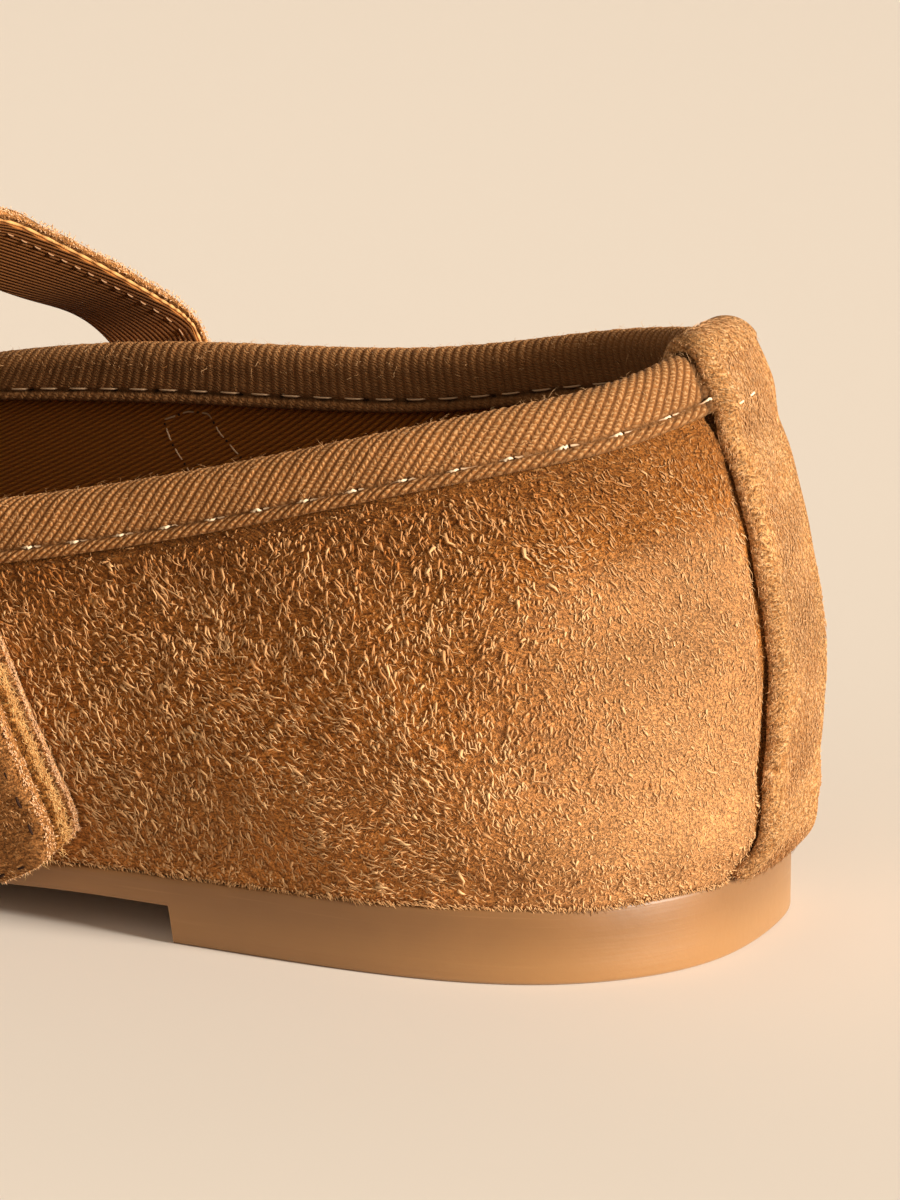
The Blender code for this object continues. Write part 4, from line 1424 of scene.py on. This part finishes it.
def scatter_upper(count, patchiness, chance):
    """Angle and t of roots by area, thicker towards the heel and in patches, none under pieces."""
    angle = chance.uniform(0.0, TURN, count * 8)
    t = chance.uniform(0.0, 1.0, count * 8)
    round_way, up_way, out = surface_frame(angle, t)
    area = np.linalg.norm(np.cross(round_way, up_way), axis=-1)
    points = upper_surface(angle, t)
    below = (1.0 - t) * np.linalg.norm(up_way, axis=-1)
    weight = 1.0 - 0.5 * step_up(points[:, 0], 90.0 * MM, 140.0 * MM)
    weight *= 1.0 - 0.35 * step_up(-points[:, 1], 5.0 * MM, 20.0 * MM)
    patches = 0.6 * drifting(points, 12.0 * MM, 5) + 0.5 * drifting(points, 3.5 * MM, 6)
    weight *= np.clip(0.62 + 0.5 * patchiness * patches, 0.05, 1.0)
    clear = below > BINDING_WIDTH + 0.1 * MM
    clear &= (np.abs(points[:, 1]) > STRIP_WIDTH / 2.0 + 0.1 * MM) | (points[:, 0] > 30.0 * MM)
    clear &= ~under_strap(points, 0.8 * MM)
    chosen = chance.uniform(0.0, 1.0, len(angle)) * area.max() * 0.6 < area * weight * clear
    return angle[chosen][:count], t[chosen][:count]


# %% The upper's nap
HEEL_FINER = 0.30                 # share that tufts lose in length and width at the heel
HEEL_SMOOTHER = 0.35              # share that they lose in height and in unevenness of tone
FOOT_FUZZ = 5200
UPPER_NAP = (
    # name, number, length, width, rise, curl, bends, lean, mean tone, patchiness, seed
    ("tufts", 16000, 1.20, 0.24, 0.15, 0.20, 2, 0.30, 0.62, 0.25, 31),
    ("short_tufts", 19000, 0.80, 0.28, 0.09, 0.20, 1, 0.50, 0.36, 0.1, 37),
    ("fibres", 13000, 0.60, 0.12, 0.13, 0.25, 1, 0.80, 0.52, 0.1, 41),
    ("curls", 3500, 1.20, 0.11, 0.20, 0.35, 2, 0.45, 0.80, 0.4, 43),
)


def make_upper_nap():
    """One piece for each kind of tuft; near the heel they are finer, flatter and more alike."""
    for (name, number, length, width, rise, curl, bends, lean, tone, patchiness,
         seed) in UPPER_NAP:
        chance = np.random.default_rng(seed)
        angle, t = scatter_upper(number, patchiness, chance)
        count = len(angle)
        base = upper_surface(angle, t)
        out = surface_frame(angle, t)[2]
        roots = base + out * suede_relief(angle, t, base)[:, None]
        ways = leaned(brush_way(base, out, 0.55, 0.42, 41), out, lean, chance)
        clump = 1.0 + 0.25 * drifting(base, 1.6 * MM, 47)
        finer = 1.0 - HEEL_FINER * near_heel(base)
        lengths = length * MM * chance.lognormal(0.0, 0.28, count) * clump * finer
        widths = width * MM * chance.lognormal(0.0, 0.35, count) * finer
        smooth = 1.0 - HEEL_SMOOTHER * near_heel(base)
        drift = 0.12 * drifting(base, 11.0 * MM, 43)
        tones = tone + smooth * (0.20 * chance.normal(size=count) + drift)
        # The tufts take the suede's painted highlight and shade as well
        tones += 0.9 * (suede_tone(angle, t, base) - 1.0)
        rises = rise * MM * chance.uniform(0.6, 1.3, count) * smooth
        mesh = fibre_mesh("nap", roots, out, ways, lengths, widths, rises, curl,
                          np.clip(tones, 0.0, 1.0), chance, bends)
        lay("suede_" + name, mesh, nap)


def make_foot_fuzz():
    """Short fibres along the suede's lower edge that hang over the sole's rim."""
    chance = np.random.default_rng(51)
    angle = chance.uniform(0.0, TURN, FOOT_FUZZ)
    t = chance.uniform(0.0, 0.012, FOOT_FUZZ)
    base = upper_surface(angle, t)
    out = surface_frame(angle, t)[2]
    roots = base + out * (suede_relief(angle, t, base) - 0.05 * MM)[:, None]
    ways = leaned(brush_way(base, out, 0.35, 0.4, 41) + 0.25 * out, out, 0.45, chance)
    tones = mixed_tones(0.62, chance, FOOT_FUZZ)
    lengths = 0.65 * MM * chance.lognormal(0.0, 0.25, FOOT_FUZZ)
    mesh = fibre_mesh("nap", roots, out, ways, lengths, np.full(FOOT_FUZZ, 0.15 * MM),
                      np.full(FOOT_FUZZ, 0.16 * MM), 0.2, tones, chance)
    lay("suede_foot_fuzz", mesh, nap)


make_upper_nap()
make_foot_fuzz()

# %% [markdown]
# ## Nap on the bands
# The strip's and the strap's faces are brushed shorter than the upper, and their cut edges show
# fibres that curl every way. A band keeps the grid that it was made from, so a fibre's root is
# read from it at a row and a column, and each fibre stands on the band's real face or edge.

# %% Nap on the strip and the strap


def on_grid(grid, row, column):
    """Values of a grid (row, column, ...) between its points, in straight lines both ways."""
    first = np.clip(np.floor(row).astype(int), 0, grid.shape[0] - 2)
    side = np.clip(np.floor(column).astype(int), 0, grid.shape[1] - 2)
    down = row - first
    over = column - side
    if grid.ndim == 3:
        down = down[:, None]
        over = over[:, None]
    return ((grid[first, side] * (1 - over) + grid[first, side + 1] * over) * (1 - down)
            + (grid[first + 1, side] * (1 - over) + grid[first + 1, side + 1] * over) * down)


def even_rows(grid, number, chance):
    """Random row numbers, even along the band's length."""
    length = run_length(grid[:, grid.shape[1] // 2])
    return np.interp(chance.uniform(0.0, length[-1], number), length, np.arange(len(length)))


def face_fibres(name, grid, outs, high, number, way_turn, size, material, mean, seed):
    """Fibres on the upper face of a band, brushed down its rows; size is length, width, rise."""
    chance = np.random.default_rng(seed)
    row = even_rows(grid, number, chance)
    column = chance.uniform(0.0, grid.shape[1] - 1.0, number)
    out = unit(on_grid(outs, row, column))
    share = np.abs(column / (grid.shape[1] - 1.0) * 2.0 - 1.0)
    crown = np.sqrt(np.clip(1.0 - share ** 8, 0.0, 1.0))
    roots = on_grid(grid, row, column) + out * (on_grid(high, row, column) * crown)[:, None]
    ahead = unit(on_grid(np.gradient(grid, axis=0), row, column))
    ways = leaned(ahead, out, 0.4, chance)
    ways = unit(np.cos(way_turn) * ways + np.sin(way_turn) * np.cross(out, ways))
    tones = mixed_tones(mean + 0.1 * drifting(roots, 7.0 * MM, 61), chance, number, 0.18)
    lay_fibres(name, roots, out, ways, size, (0.6, 1.3), 0.25, tones, chance, material)


# %% Fibres on cut edges


def edge_fibres(name, grid, outs, low, high, number, size, curl, material, mean, seed,
                bends=1, end_share=0.0):
    """Fibres on both cut edges of a band, and a share on its last end, curling every way.

    Their roots lie between the band's two faces, a tenth of a millimetre inside its edge.
    """
    chance = np.random.default_rng(seed)
    row = even_rows(grid, number, chance)
    part = chance.uniform(0.0, 1.0, number)
    last = grid.shape[1] - 1.0
    column = np.where(part < 0.5, 0.0, last)
    inward = np.where(part < 0.5, 1.0, last - 1.0)
    at_end = part > 1.0 - end_share
    row = np.where(at_end, len(grid) - 1.0, row)
    column = np.where(at_end, chance.uniform(0.0, last, number), column)
    inward = np.where(at_end, column, inward)
    out = unit(on_grid(outs, row, column))
    beside = unit(on_grid(grid, row, column) - on_grid(grid, row - at_end, inward))
    level = chance.uniform(0.05, 0.95, number)
    height = on_grid(low, row, column) * (1.0 - level) + on_grid(high, row, column) * level
    roots = on_grid(grid, row, column) + out * height[:, None] - beside * 0.10 * MM
    turn = chance.uniform(0.0, TURN, number)[:, None]
    ways = unit(np.cos(turn) * np.cross(out, beside) + 0.4 * np.sin(turn) * out + 0.10 * beside)
    tones = mixed_tones(mean, chance, number, 0.18)
    lay_fibres(name, roots, beside, ways, size, (0.4, 1.4), curl, tones, chance, material,
               bends)


# %% The bands' fibres
strip_nap = make_fibre("strip_nap", srgb(176, 116, 58), srgb(236, 192, 142))
cut_edge = make_fibre("cut_edge", srgb(200, 136, 84), srgb(244, 204, 160))
gold_fuzz = make_fibre("gold_fuzz", srgb(192, 120, 52), srgb(255, 212, 142), 0.6)
strip_high = strip_lows + STRIP_THICKNESS * 0.98
face_fibres("strip_nap", strip_points, strip_outs, strip_high, 9000, np.pi, (0.85, 0.13, 0.09),
            strip_nap, 0.50, 71)
edge_fibres("strip_edge_nap", strip_points, strip_outs, strip_lows, strip_high, 1700,
            (0.40, 0.12, 0.05), 0.25, strip_nap, 0.5, 72)
strap_high = np.full(strap_under.shape[:2], STRAP_THICKNESS - 0.05 * MM)
face_fibres("strap_nap", strap_under, strap_outs, strap_high, 7000, 0.4, (0.55, 0.16, 0.08),
            nap, 0.45, 73)
edge_fibres("strap_edge_nap", strap_under, strap_outs, tape_high, strap_high, 5200,
            (0.36, 0.20, 0.04), 0.3, cut_edge, 0.62, 74, 1, 0.06)

# %% Fibres of the closure


def make_closure_fibres():
    """Short nap on the patch's edge, and long golden curls on the pile's."""
    none = np.zeros(closure_base.shape[:2])
    edge_fibres("patch_edge_nap", closure_base, band_outs(closure_base), none,
                none + BASE_THICKNESS, 1800, (0.50, 0.13, 0.07), 0.3, cut_edge,
                0.6, 75, 1, 0.12)
    edge_fibres("pile_curls", closure_pile, band_outs(closure_pile), none,
                none + PILE_THICKNESS, 1500, (1.00, 0.09, 0.30), 0.5, gold_fuzz,
                0.6, 76, 2, 0.12)


make_closure_fibres()

# %% [markdown]
# ## Stray hairs of the tape
# A worn twill tape is never clean: fine hairs stand off it, and against the light they are what
# tells cloth from plastic. They grow from the tape's own face, so they follow its fold.

# %% Stray hairs
HAIRS = 2600


def make_hairs():
    """Fine hairs on the binding's outside and fold, lying any way and lifted off its face."""
    chance = np.random.default_rng(81)
    length = chance.uniform(0.0, RING_TOTAL, HAIRS)
    drop = chance.uniform(-1.1 * FOLD, 3.2 * MM, HAIRS)
    roots = on_tape(length, drop, 0.12 * MM)
    out = unit(on_tape(length, drop, 0.4 * MM) - roots)
    ahead = unit(on_tape(length + 0.2 * MM, drop, 0.12 * MM) - roots)
    turn = chance.uniform(0.0, TURN, HAIRS)[:, None]
    around = np.cos(turn) * ahead + np.sin(turn) * np.cross(out, ahead)
    ways = unit(around + 0.45 * out)
    tones = mixed_tones(0.6, chance, HAIRS)
    lengths = 0.62 * MM * chance.lognormal(0.0, 0.4, HAIRS)
    mesh = fibre_mesh("hairs", roots, out, ways, lengths, np.full(HAIRS, 0.045 * MM),
                      np.full(HAIRS, 0.12 * MM), 0.35, tones, chance, 2)
    lay("tape_hairs", mesh, strip_nap)


make_hairs()

# %% [markdown]
# ## Threads
# A stitch is a short tube that comes out of one hole, lies on the cloth and goes down the next.
# One long tube would float between its holes, and a dashed picture would have no shadow.
# All stitches of a row are one mesh. The curve they follow is measured by its length, and each
# stitch takes its piece of it, with both ends sunk and its middle a little raised.

# %% Stitches
THREAD_SIDES = 6


def tube_mesh(name, paths, outs, radii, tones):
    """Closed tubes along paths (n, rows, 3), with a point's radius and tone for each row."""
    number, rows, _ = paths.shape
    along = unit(np.gradient(paths, axis=1))
    side = unit(np.cross(outs, along))
    up = np.cross(along, side)
    turn = np.arange(THREAD_SIDES) * TURN / THREAD_SIDES
    circle = (np.cos(turn)[:, None] * side[:, :, None] + np.sin(turn)[:, None] * up[:, :, None])
    points = paths[:, :, None] + circle * radii[..., None, None]
    quads = grid_quads(rows, THREAD_SIDES, False, True)[0]
    ends = np.arange(THREAD_SIDES)
    caps = np.stack([ends, ends[::-1] + (rows - 1) * THREAD_SIDES])
    start = (np.arange(number) * rows * THREAD_SIDES)[:, None, None]
    faces = [(quads[None] + start).reshape(-1, 4), (caps[None] + start).reshape(-1, THREAD_SIDES)]
    tone = np.repeat(np.broadcast_to(tones, (number, rows)).ravel(), THREAD_SIDES)
    return fill_mesh(name, points.reshape(-1, 3), faces, None, tone)


def dashes(curve, outs, pitch, dash, rows=7, start=0.0):
    """Pieces of a curve, one every pitch, each as long as a dash, with their normals."""
    length = run_length(curve)
    number = max(1, int((length[-1] - start - dash) / pitch) + 1)
    at = start + np.arange(number)[:, None] * pitch + np.linspace(0.0, dash, rows)[None, :]
    path = np.stack([np.interp(at, length, curve[:, axis]) for axis in range(3)], axis=-1)
    normal = np.stack([np.interp(at, length, outs[:, axis]) for axis in range(3)], axis=-1)
    return path, unit(normal)


def stitch_row(name, curve, outs, pitch, dash, radius, tone, material, raised):
    """A row of stitches on a curve; raised is the middle's height in millimetres.

    Height and radius fall off towards both ends as the fourth power of the way out.
    """
    path, normal = dashes(curve, outs, pitch, dash)
    share = np.linspace(-1.0, 1.0, path.shape[1])
    path = path + normal * ((raised - (raised + 0.22) * share ** 4) * MM)[None, :, None]
    radii = np.broadcast_to(radius * MM * (1.0 - 0.35 * share ** 4), path.shape[:2])
    lay(name, tube_mesh(name, path, normal, radii, tone), material)


def stitch_holes(name, curve, outs, pitch, start, size):
    """Painted shadow in the holes where the thread goes through: short dark round beads sunk into the
    face.
    """
    path, normal = dashes(curve, outs, pitch, 1.8 * size * MM, 5, start)
    share = np.linspace(-1.0, 1.0, path.shape[1])
    radii = np.broadcast_to(size * MM * np.sqrt(1.02 - share ** 2), path.shape[:2])
    path = path - normal * 0.4 * size * MM
    lay(name, tube_mesh(name, path, normal, radii, 0.0), stitch_shadow)


# %% Thread along the binding
thread = make_fibre("thread", srgb(140, 88, 42), srgb(252, 230, 194), 0.55)
# A dark finish that paints the shadow in stitch holes
stitch_shadow = make_fibre("stitch_hole", srgb(40, 20, 8), srgb(70, 38, 16), 0.9)


BINDING_STITCH = (
    # share of the stitch, lift and radius in millimetres, tone, low as painted shade where the thread
    # sinks
    (0.010, -0.45, 0.08, 0.2),
    (0.040, -0.12, 0.12, 0.7),
    (0.070, 0.04, 0.16, 1.0),
    (0.105, -0.02, 0.11, 0.7),
    (0.140, 0.04, 0.15, 0.9),
    (0.180, -0.10, 0.11, 0.5),
    (0.270, -0.30, 0.10, 0.2),
    (0.550, -0.34, 0.10, 0.1),
    (0.800, -0.30, 0.10, 0.2),
    (0.900, -0.22, 0.12, 0.5),
    (0.970, -0.30, 0.10, 0.2),
)


def make_binding_thread():
    """Outside, a thin run in the furrow swells to a bright loop past each hole; inside, a row."""
    step = RING_TOTAL / STITCHES
    share, lift, radius, tone = side_columns(BINDING_STITCH)
    chance = np.random.default_rng(91)
    length = (np.arange(STITCHES)[:, None] + share[None, :]) * step
    wander = chance.normal(0.0, 0.07, length.shape) * MM
    lift = (lift[None, :] + chance.normal(0.0, 0.03, length.shape)) * MM
    path = on_tape(length, STITCH_DROP + wander, lift)
    out = unit(on_tape(length, STITCH_DROP + wander, lift + 0.3 * MM) - path)
    radii = radius[None, :] * MM * chance.uniform(0.8, 1.15, (STITCHES, 1))
    lay("binding_thread", tube_mesh("thread", path, out, radii, tone[None, :]), thread)
    ring = np.linspace(0.0, RING_TOTAL, 1500)
    inside = -FOLD - STITCH_DROP + 0.25 * MM
    curve = on_tape(ring, inside, 0.06 * MM)
    normal = unit(on_tape(ring, inside, 0.4 * MM) - curve)
    stitch_row("binding_thread_inside", curve, normal, 3.9 * MM, 2.4 * MM, 0.11, 0.30,
               thread, 0.08)


make_binding_thread()

# %% Cord and stitches of the strap
STITCH_INSET = 1.5 / 12.0         # from the strap's edges to its stitches, a share of the width
CORD_START = 30                   # the cord and the tape's stitches start at this row
CORD_PAST_CLOSING = 14            # and the cord ends this many rows into the closed end
TOP_STITCH_START = 12             # first row of the stitches on the suede
TOP_STITCH_END = 5                # and rows from the tip to their last one


def make_strap_thread():
    """Cord between suede and tape, stitches on the tape, and sunk stitches on the suede.

    The stitches on the suede go up one side, across below the tip and back on the other side.
    """
    side = STRAP_COLUMNS - 1.0
    closed_row = len(strap_under) - CLOSED_ROWS
    for name, place in (("rear", TAPE_SETBACK - 0.008), ("front", 0.998)):
        row = np.arange(float(CORD_START), closed_row + CORD_PAST_CLOSING)
        column = np.full_like(row, place * side)
        out = on_grid(strap_outs, row, column)
        path = on_grid(strap_under, row, column) + out * 0.55 * STRAP_TAPE
        # The cord swells and narrows along its twist, and its tone follows: painted light on the
        # swellings and painted shade where it narrows
        bead = np.sin(np.arange(len(path)) * 2.1)
        radii = (0.17 + 0.05 * bead)[None, :] * MM
        mesh = tube_mesh("cord", path[None], out[None], radii, 0.45 + 0.35 * bead[None, :])
        lay("strap_cord_" + name, mesh, gold_cord)
    inset = STITCH_INSET * side
    row = np.arange(CORD_START + 1.0, closed_row + 10.0)
    column = np.full_like(row, inset + TAPE_SETBACK * side)
    normal = -on_grid(strap_outs, row, column)
    curve = on_grid(strap_under, row, column) + normal * 0.02 * MM
    stitch_row("strap_stitches", curve, normal, 2.35 * MM, 1.25 * MM, 0.09, 0.14, thread,
               0.05)
    last = len(strap_under) - TOP_STITCH_END
    up = np.arange(float(TOP_STITCH_START), last)
    row = np.concatenate([up, np.full(9, float(last)), up[::-1] + 1.0])
    column = np.concatenate([np.full(len(up), inset), np.linspace(inset, side - inset, 9),
                             np.full(len(up), side - inset)])
    out = unit(on_grid(strap_outs, row, column))
    curve = on_grid(strap_under, row, column) + out * (STRAP_THICKNESS + 0.02 * MM)
    # The stitches sunk in the suede show as dark holes, so they take the finish that paints shadow
    stitch_row("strap_top_stitches", curve, out, 3.1 * MM, 1.3 * MM, 0.15, 0.05,
               stitch_shadow, 0.02)


gold_cord = make_fibre("gold_cord", srgb(150, 94, 44), srgb(236, 182, 114), 0.6)
make_strap_thread()

# %% [markdown]
# ## Small stitches
# The strap's sewn end is held by a box of stitches that shows on the lining, and two stitches of
# the binding's seam come out on the back strip. Both run between corners that are given in
# millimetres on the shoe itself, and each corner is then looked up on the last.

# %% Stitches that show inside and on the strip
BOX_PITCH = 2.5 * MM
BOX_STITCH = (
    # station and height of the corners, in millimetres
    (83.9, 42.1),
    (80.7, 43.4),
    (78.1, 43.4),
    (76.7, 41.3),
    (73.9, 38.6),
    (70.4, 34.0),
    (76.8, 31.5),
    (81.0, 37.1),
    (82.8, 39.5),
    (83.9, 42.1),
)
STRIP_STITCHES = (
    # distance from the middle and drop from the topline, in millimetres, of both ends
    (3.6, 4.95, 2.4, 4.83),
    (1.5, 4.74, 0.4, 4.52),
)


def make_small_stitches():
    """The box that holds the strap's sewn end, on the lining, and two stitches on the strip."""
    corner = np.array(BOX_STITCH) * MM
    at = np.linspace(0.0, len(corner) - 1.0, 120)
    x, z = (np.interp(at, np.arange(len(corner)), corner[:, axis]) for axis in (0, 1))
    angle, t = find_on_surface(x, z, False)
    curve = off_surface(angle, t, -WALL)
    normal = -surface_frame(angle, t)[2]
    stitch_row("box_stitch", curve, normal, BOX_PITCH, 1.9 * MM, 0.10, 0.30, thread, 0.06)
    stitch_holes("box_holes", curve, normal, BOX_PITCH, 2.0 * MM, 0.20)
    for number, (first_y, first_drop, last_y, last_drop) in enumerate(STRIP_STITCHES):
        y = np.linspace(first_y, last_y, 8) * MM
        drop = np.linspace(first_drop, last_drop, 8) * MM
        t = below_edge(angle_across_back(0.95, y), drop)
        row = (t - strip_start) / (1.0 - strip_start) * (STRIP_BACK_ROWS - 1)
        column = (y / STRIP_WIDTH + 0.5) * (STRIP_COLUMNS - 1)
        out = unit(on_grid(strip_outs, row, column))
        curve = on_grid(strip_points, row, column) + out * on_grid(strip_high, row, column)[:, None]
        stitch_row("strip_stitch_%d" % (number + 1), curve, out, 3.0 * MM, 1.0 * MM, 0.13,
                   0.75 + 0.2 * number, thread, 0.12)


make_small_stitches()

# %% [markdown]
# ## Floor, light and camera
# The shoe stands on a plain pale floor that bends up into a backdrop far behind it. One soft warm
# lamp stands low to the right, behind the heel, a wide weak one fills in from above, and the
# camera looks at the heel from the outer side, as the photograph does.

# %% Floor and backdrop
CAMERA_AZIMUTH = np.radians(206.7)
CAMERA_ELEVATION = np.radians(13.28)
CAMERA_DISTANCE = 586.7 * MM
LENS = 169.7                      # millimetres, for a 36 mm long side
AIM = np.array([7.91, 0.0, 32.33]) * MM
FLOOR_COLOUR = (0.785, 0.725, 0.659, 1.0)
FLOOR_FAR = (0.73, 0.675, 0.615, 1.0)  # a little darker, which evens out the light on it

back_way = np.array([np.sin(CAMERA_AZIMUTH) * np.cos(CAMERA_ELEVATION),
                     -np.cos(CAMERA_AZIMUTH) * np.cos(CAMERA_ELEVATION),
                     np.sin(CAMERA_ELEVATION)])
right_way = np.array([np.cos(CAMERA_AZIMUTH), np.sin(CAMERA_AZIMUTH), 0.0])
level_back = unit(back_way * (1.0 - UP))


def make_floor():
    """Flat to well behind the shoe, then a quarter round up, carried straight to both sides."""
    turn = np.linspace(0.0, np.pi / 2.0, 25)
    reach, radius = 5.0, 1.5
    depth = np.concatenate([[-2.4, 0.0], reach + radius * np.sin(turn), [reach + radius]])
    height = np.concatenate([[0.0, 0.0], radius * (1.0 - np.cos(turn)), [6.0]])
    across = np.array([-8.0, 0.0, 8.0])
    points = (AIM * (1.0 - UP) - depth[:, None, None] * level_back
              + height[:, None, None] * UP + across[None, :, None] * right_way)
    faces = grid_quads(len(depth), len(across))[0]
    mesh = fill_mesh("floor", points.reshape(-1, 3) + np.array([HEEL_CENTRE, 0.0, 0.0]), [faces])
    material = new_finish("pale_floor", 1.0, 0.0)
    place = node(material, "ShaderNodeTexCoord").outputs["Object"]
    away = node(material, "ShaderNodeVectorMath", {0: place}, operation="LENGTH").outputs["Value"]
    far_share = spread(material, away, 0.1, 1.3)
    wear(material, mixed(material, far_share, FLOOR_COLOUR, FLOOR_FAR))
    mesh.materials.append(material)
    floor = bpy.data.objects.new("floor", mesh)
    bpy.context.scene.collection.objects.link(floor)


make_floor()
print("floor laid, camera %.0f mm from its aim" % (CAMERA_DISTANCE / MM))

# %% Lamps
LAMPS = (
    # name, side, forward, up, spread in degrees, strength, colour
    ("key", 0.80, 0.48, 0.28, 16.0, 7.2, (1.0, 0.93, 0.83)),
    ("fill", -0.35, 0.80, 0.50, 60.0, 0.35, (1.0, 0.93, 0.86)),
)
WORLD_STRENGTH = 0.35
AMBIENT = (0.85, 0.66, 0.46, 1.0)   # the warm room all round


def make_lamps():
    """Broad far lamps, so that the floor is lit evenly; side and forward are the camera's."""
    for name, side, forward, up, spread_angle, strength, colour in LAMPS:
        data = bpy.data.lights.new(name, "SUN")
        data.angle = np.radians(spread_angle)
        data.energy = strength
        data.color = colour
        lamp = bpy.data.objects.new(name, data)
        way = side * right_way + forward * level_back + up * UP
        lamp.location = AIM + way
        lamp.rotation_mode = "QUATERNION"
        lamp.rotation_quaternion = Vector(-way).to_track_quat("-Z", "Y")
        bpy.context.scene.collection.objects.link(lamp)
    world = bpy.data.worlds.new("studio")
    world.use_nodes = True
    world.node_tree.nodes["Background"].inputs["Color"].default_value = AMBIENT
    world.node_tree.nodes["Background"].inputs["Strength"].default_value = WORLD_STRENGTH
    bpy.context.scene.world = world


make_lamps()

# %% Camera


def make_camera():
    """A long lens that looks at the aim, with all of its depth sharp."""
    data = bpy.data.cameras.new("camera")
    data.lens = LENS
    data.sensor_width = 36.0
    data.clip_start = 0.05
    data.clip_end = 20.0
    camera = bpy.data.objects.new("camera", data)
    camera.location = AIM + back_way * CAMERA_DISTANCE
    camera.rotation_mode = "QUATERNION"
    camera.rotation_quaternion = Vector(-back_way).to_track_quat("-Z", "Y")
    bpy.context.scene.collection.objects.link(camera)
    bpy.context.scene.camera = camera


make_camera()
bpy.context.scene.view_settings.view_transform = "Standard"

# %% Count of triangles
print("triangles added:", sum(made.values()))
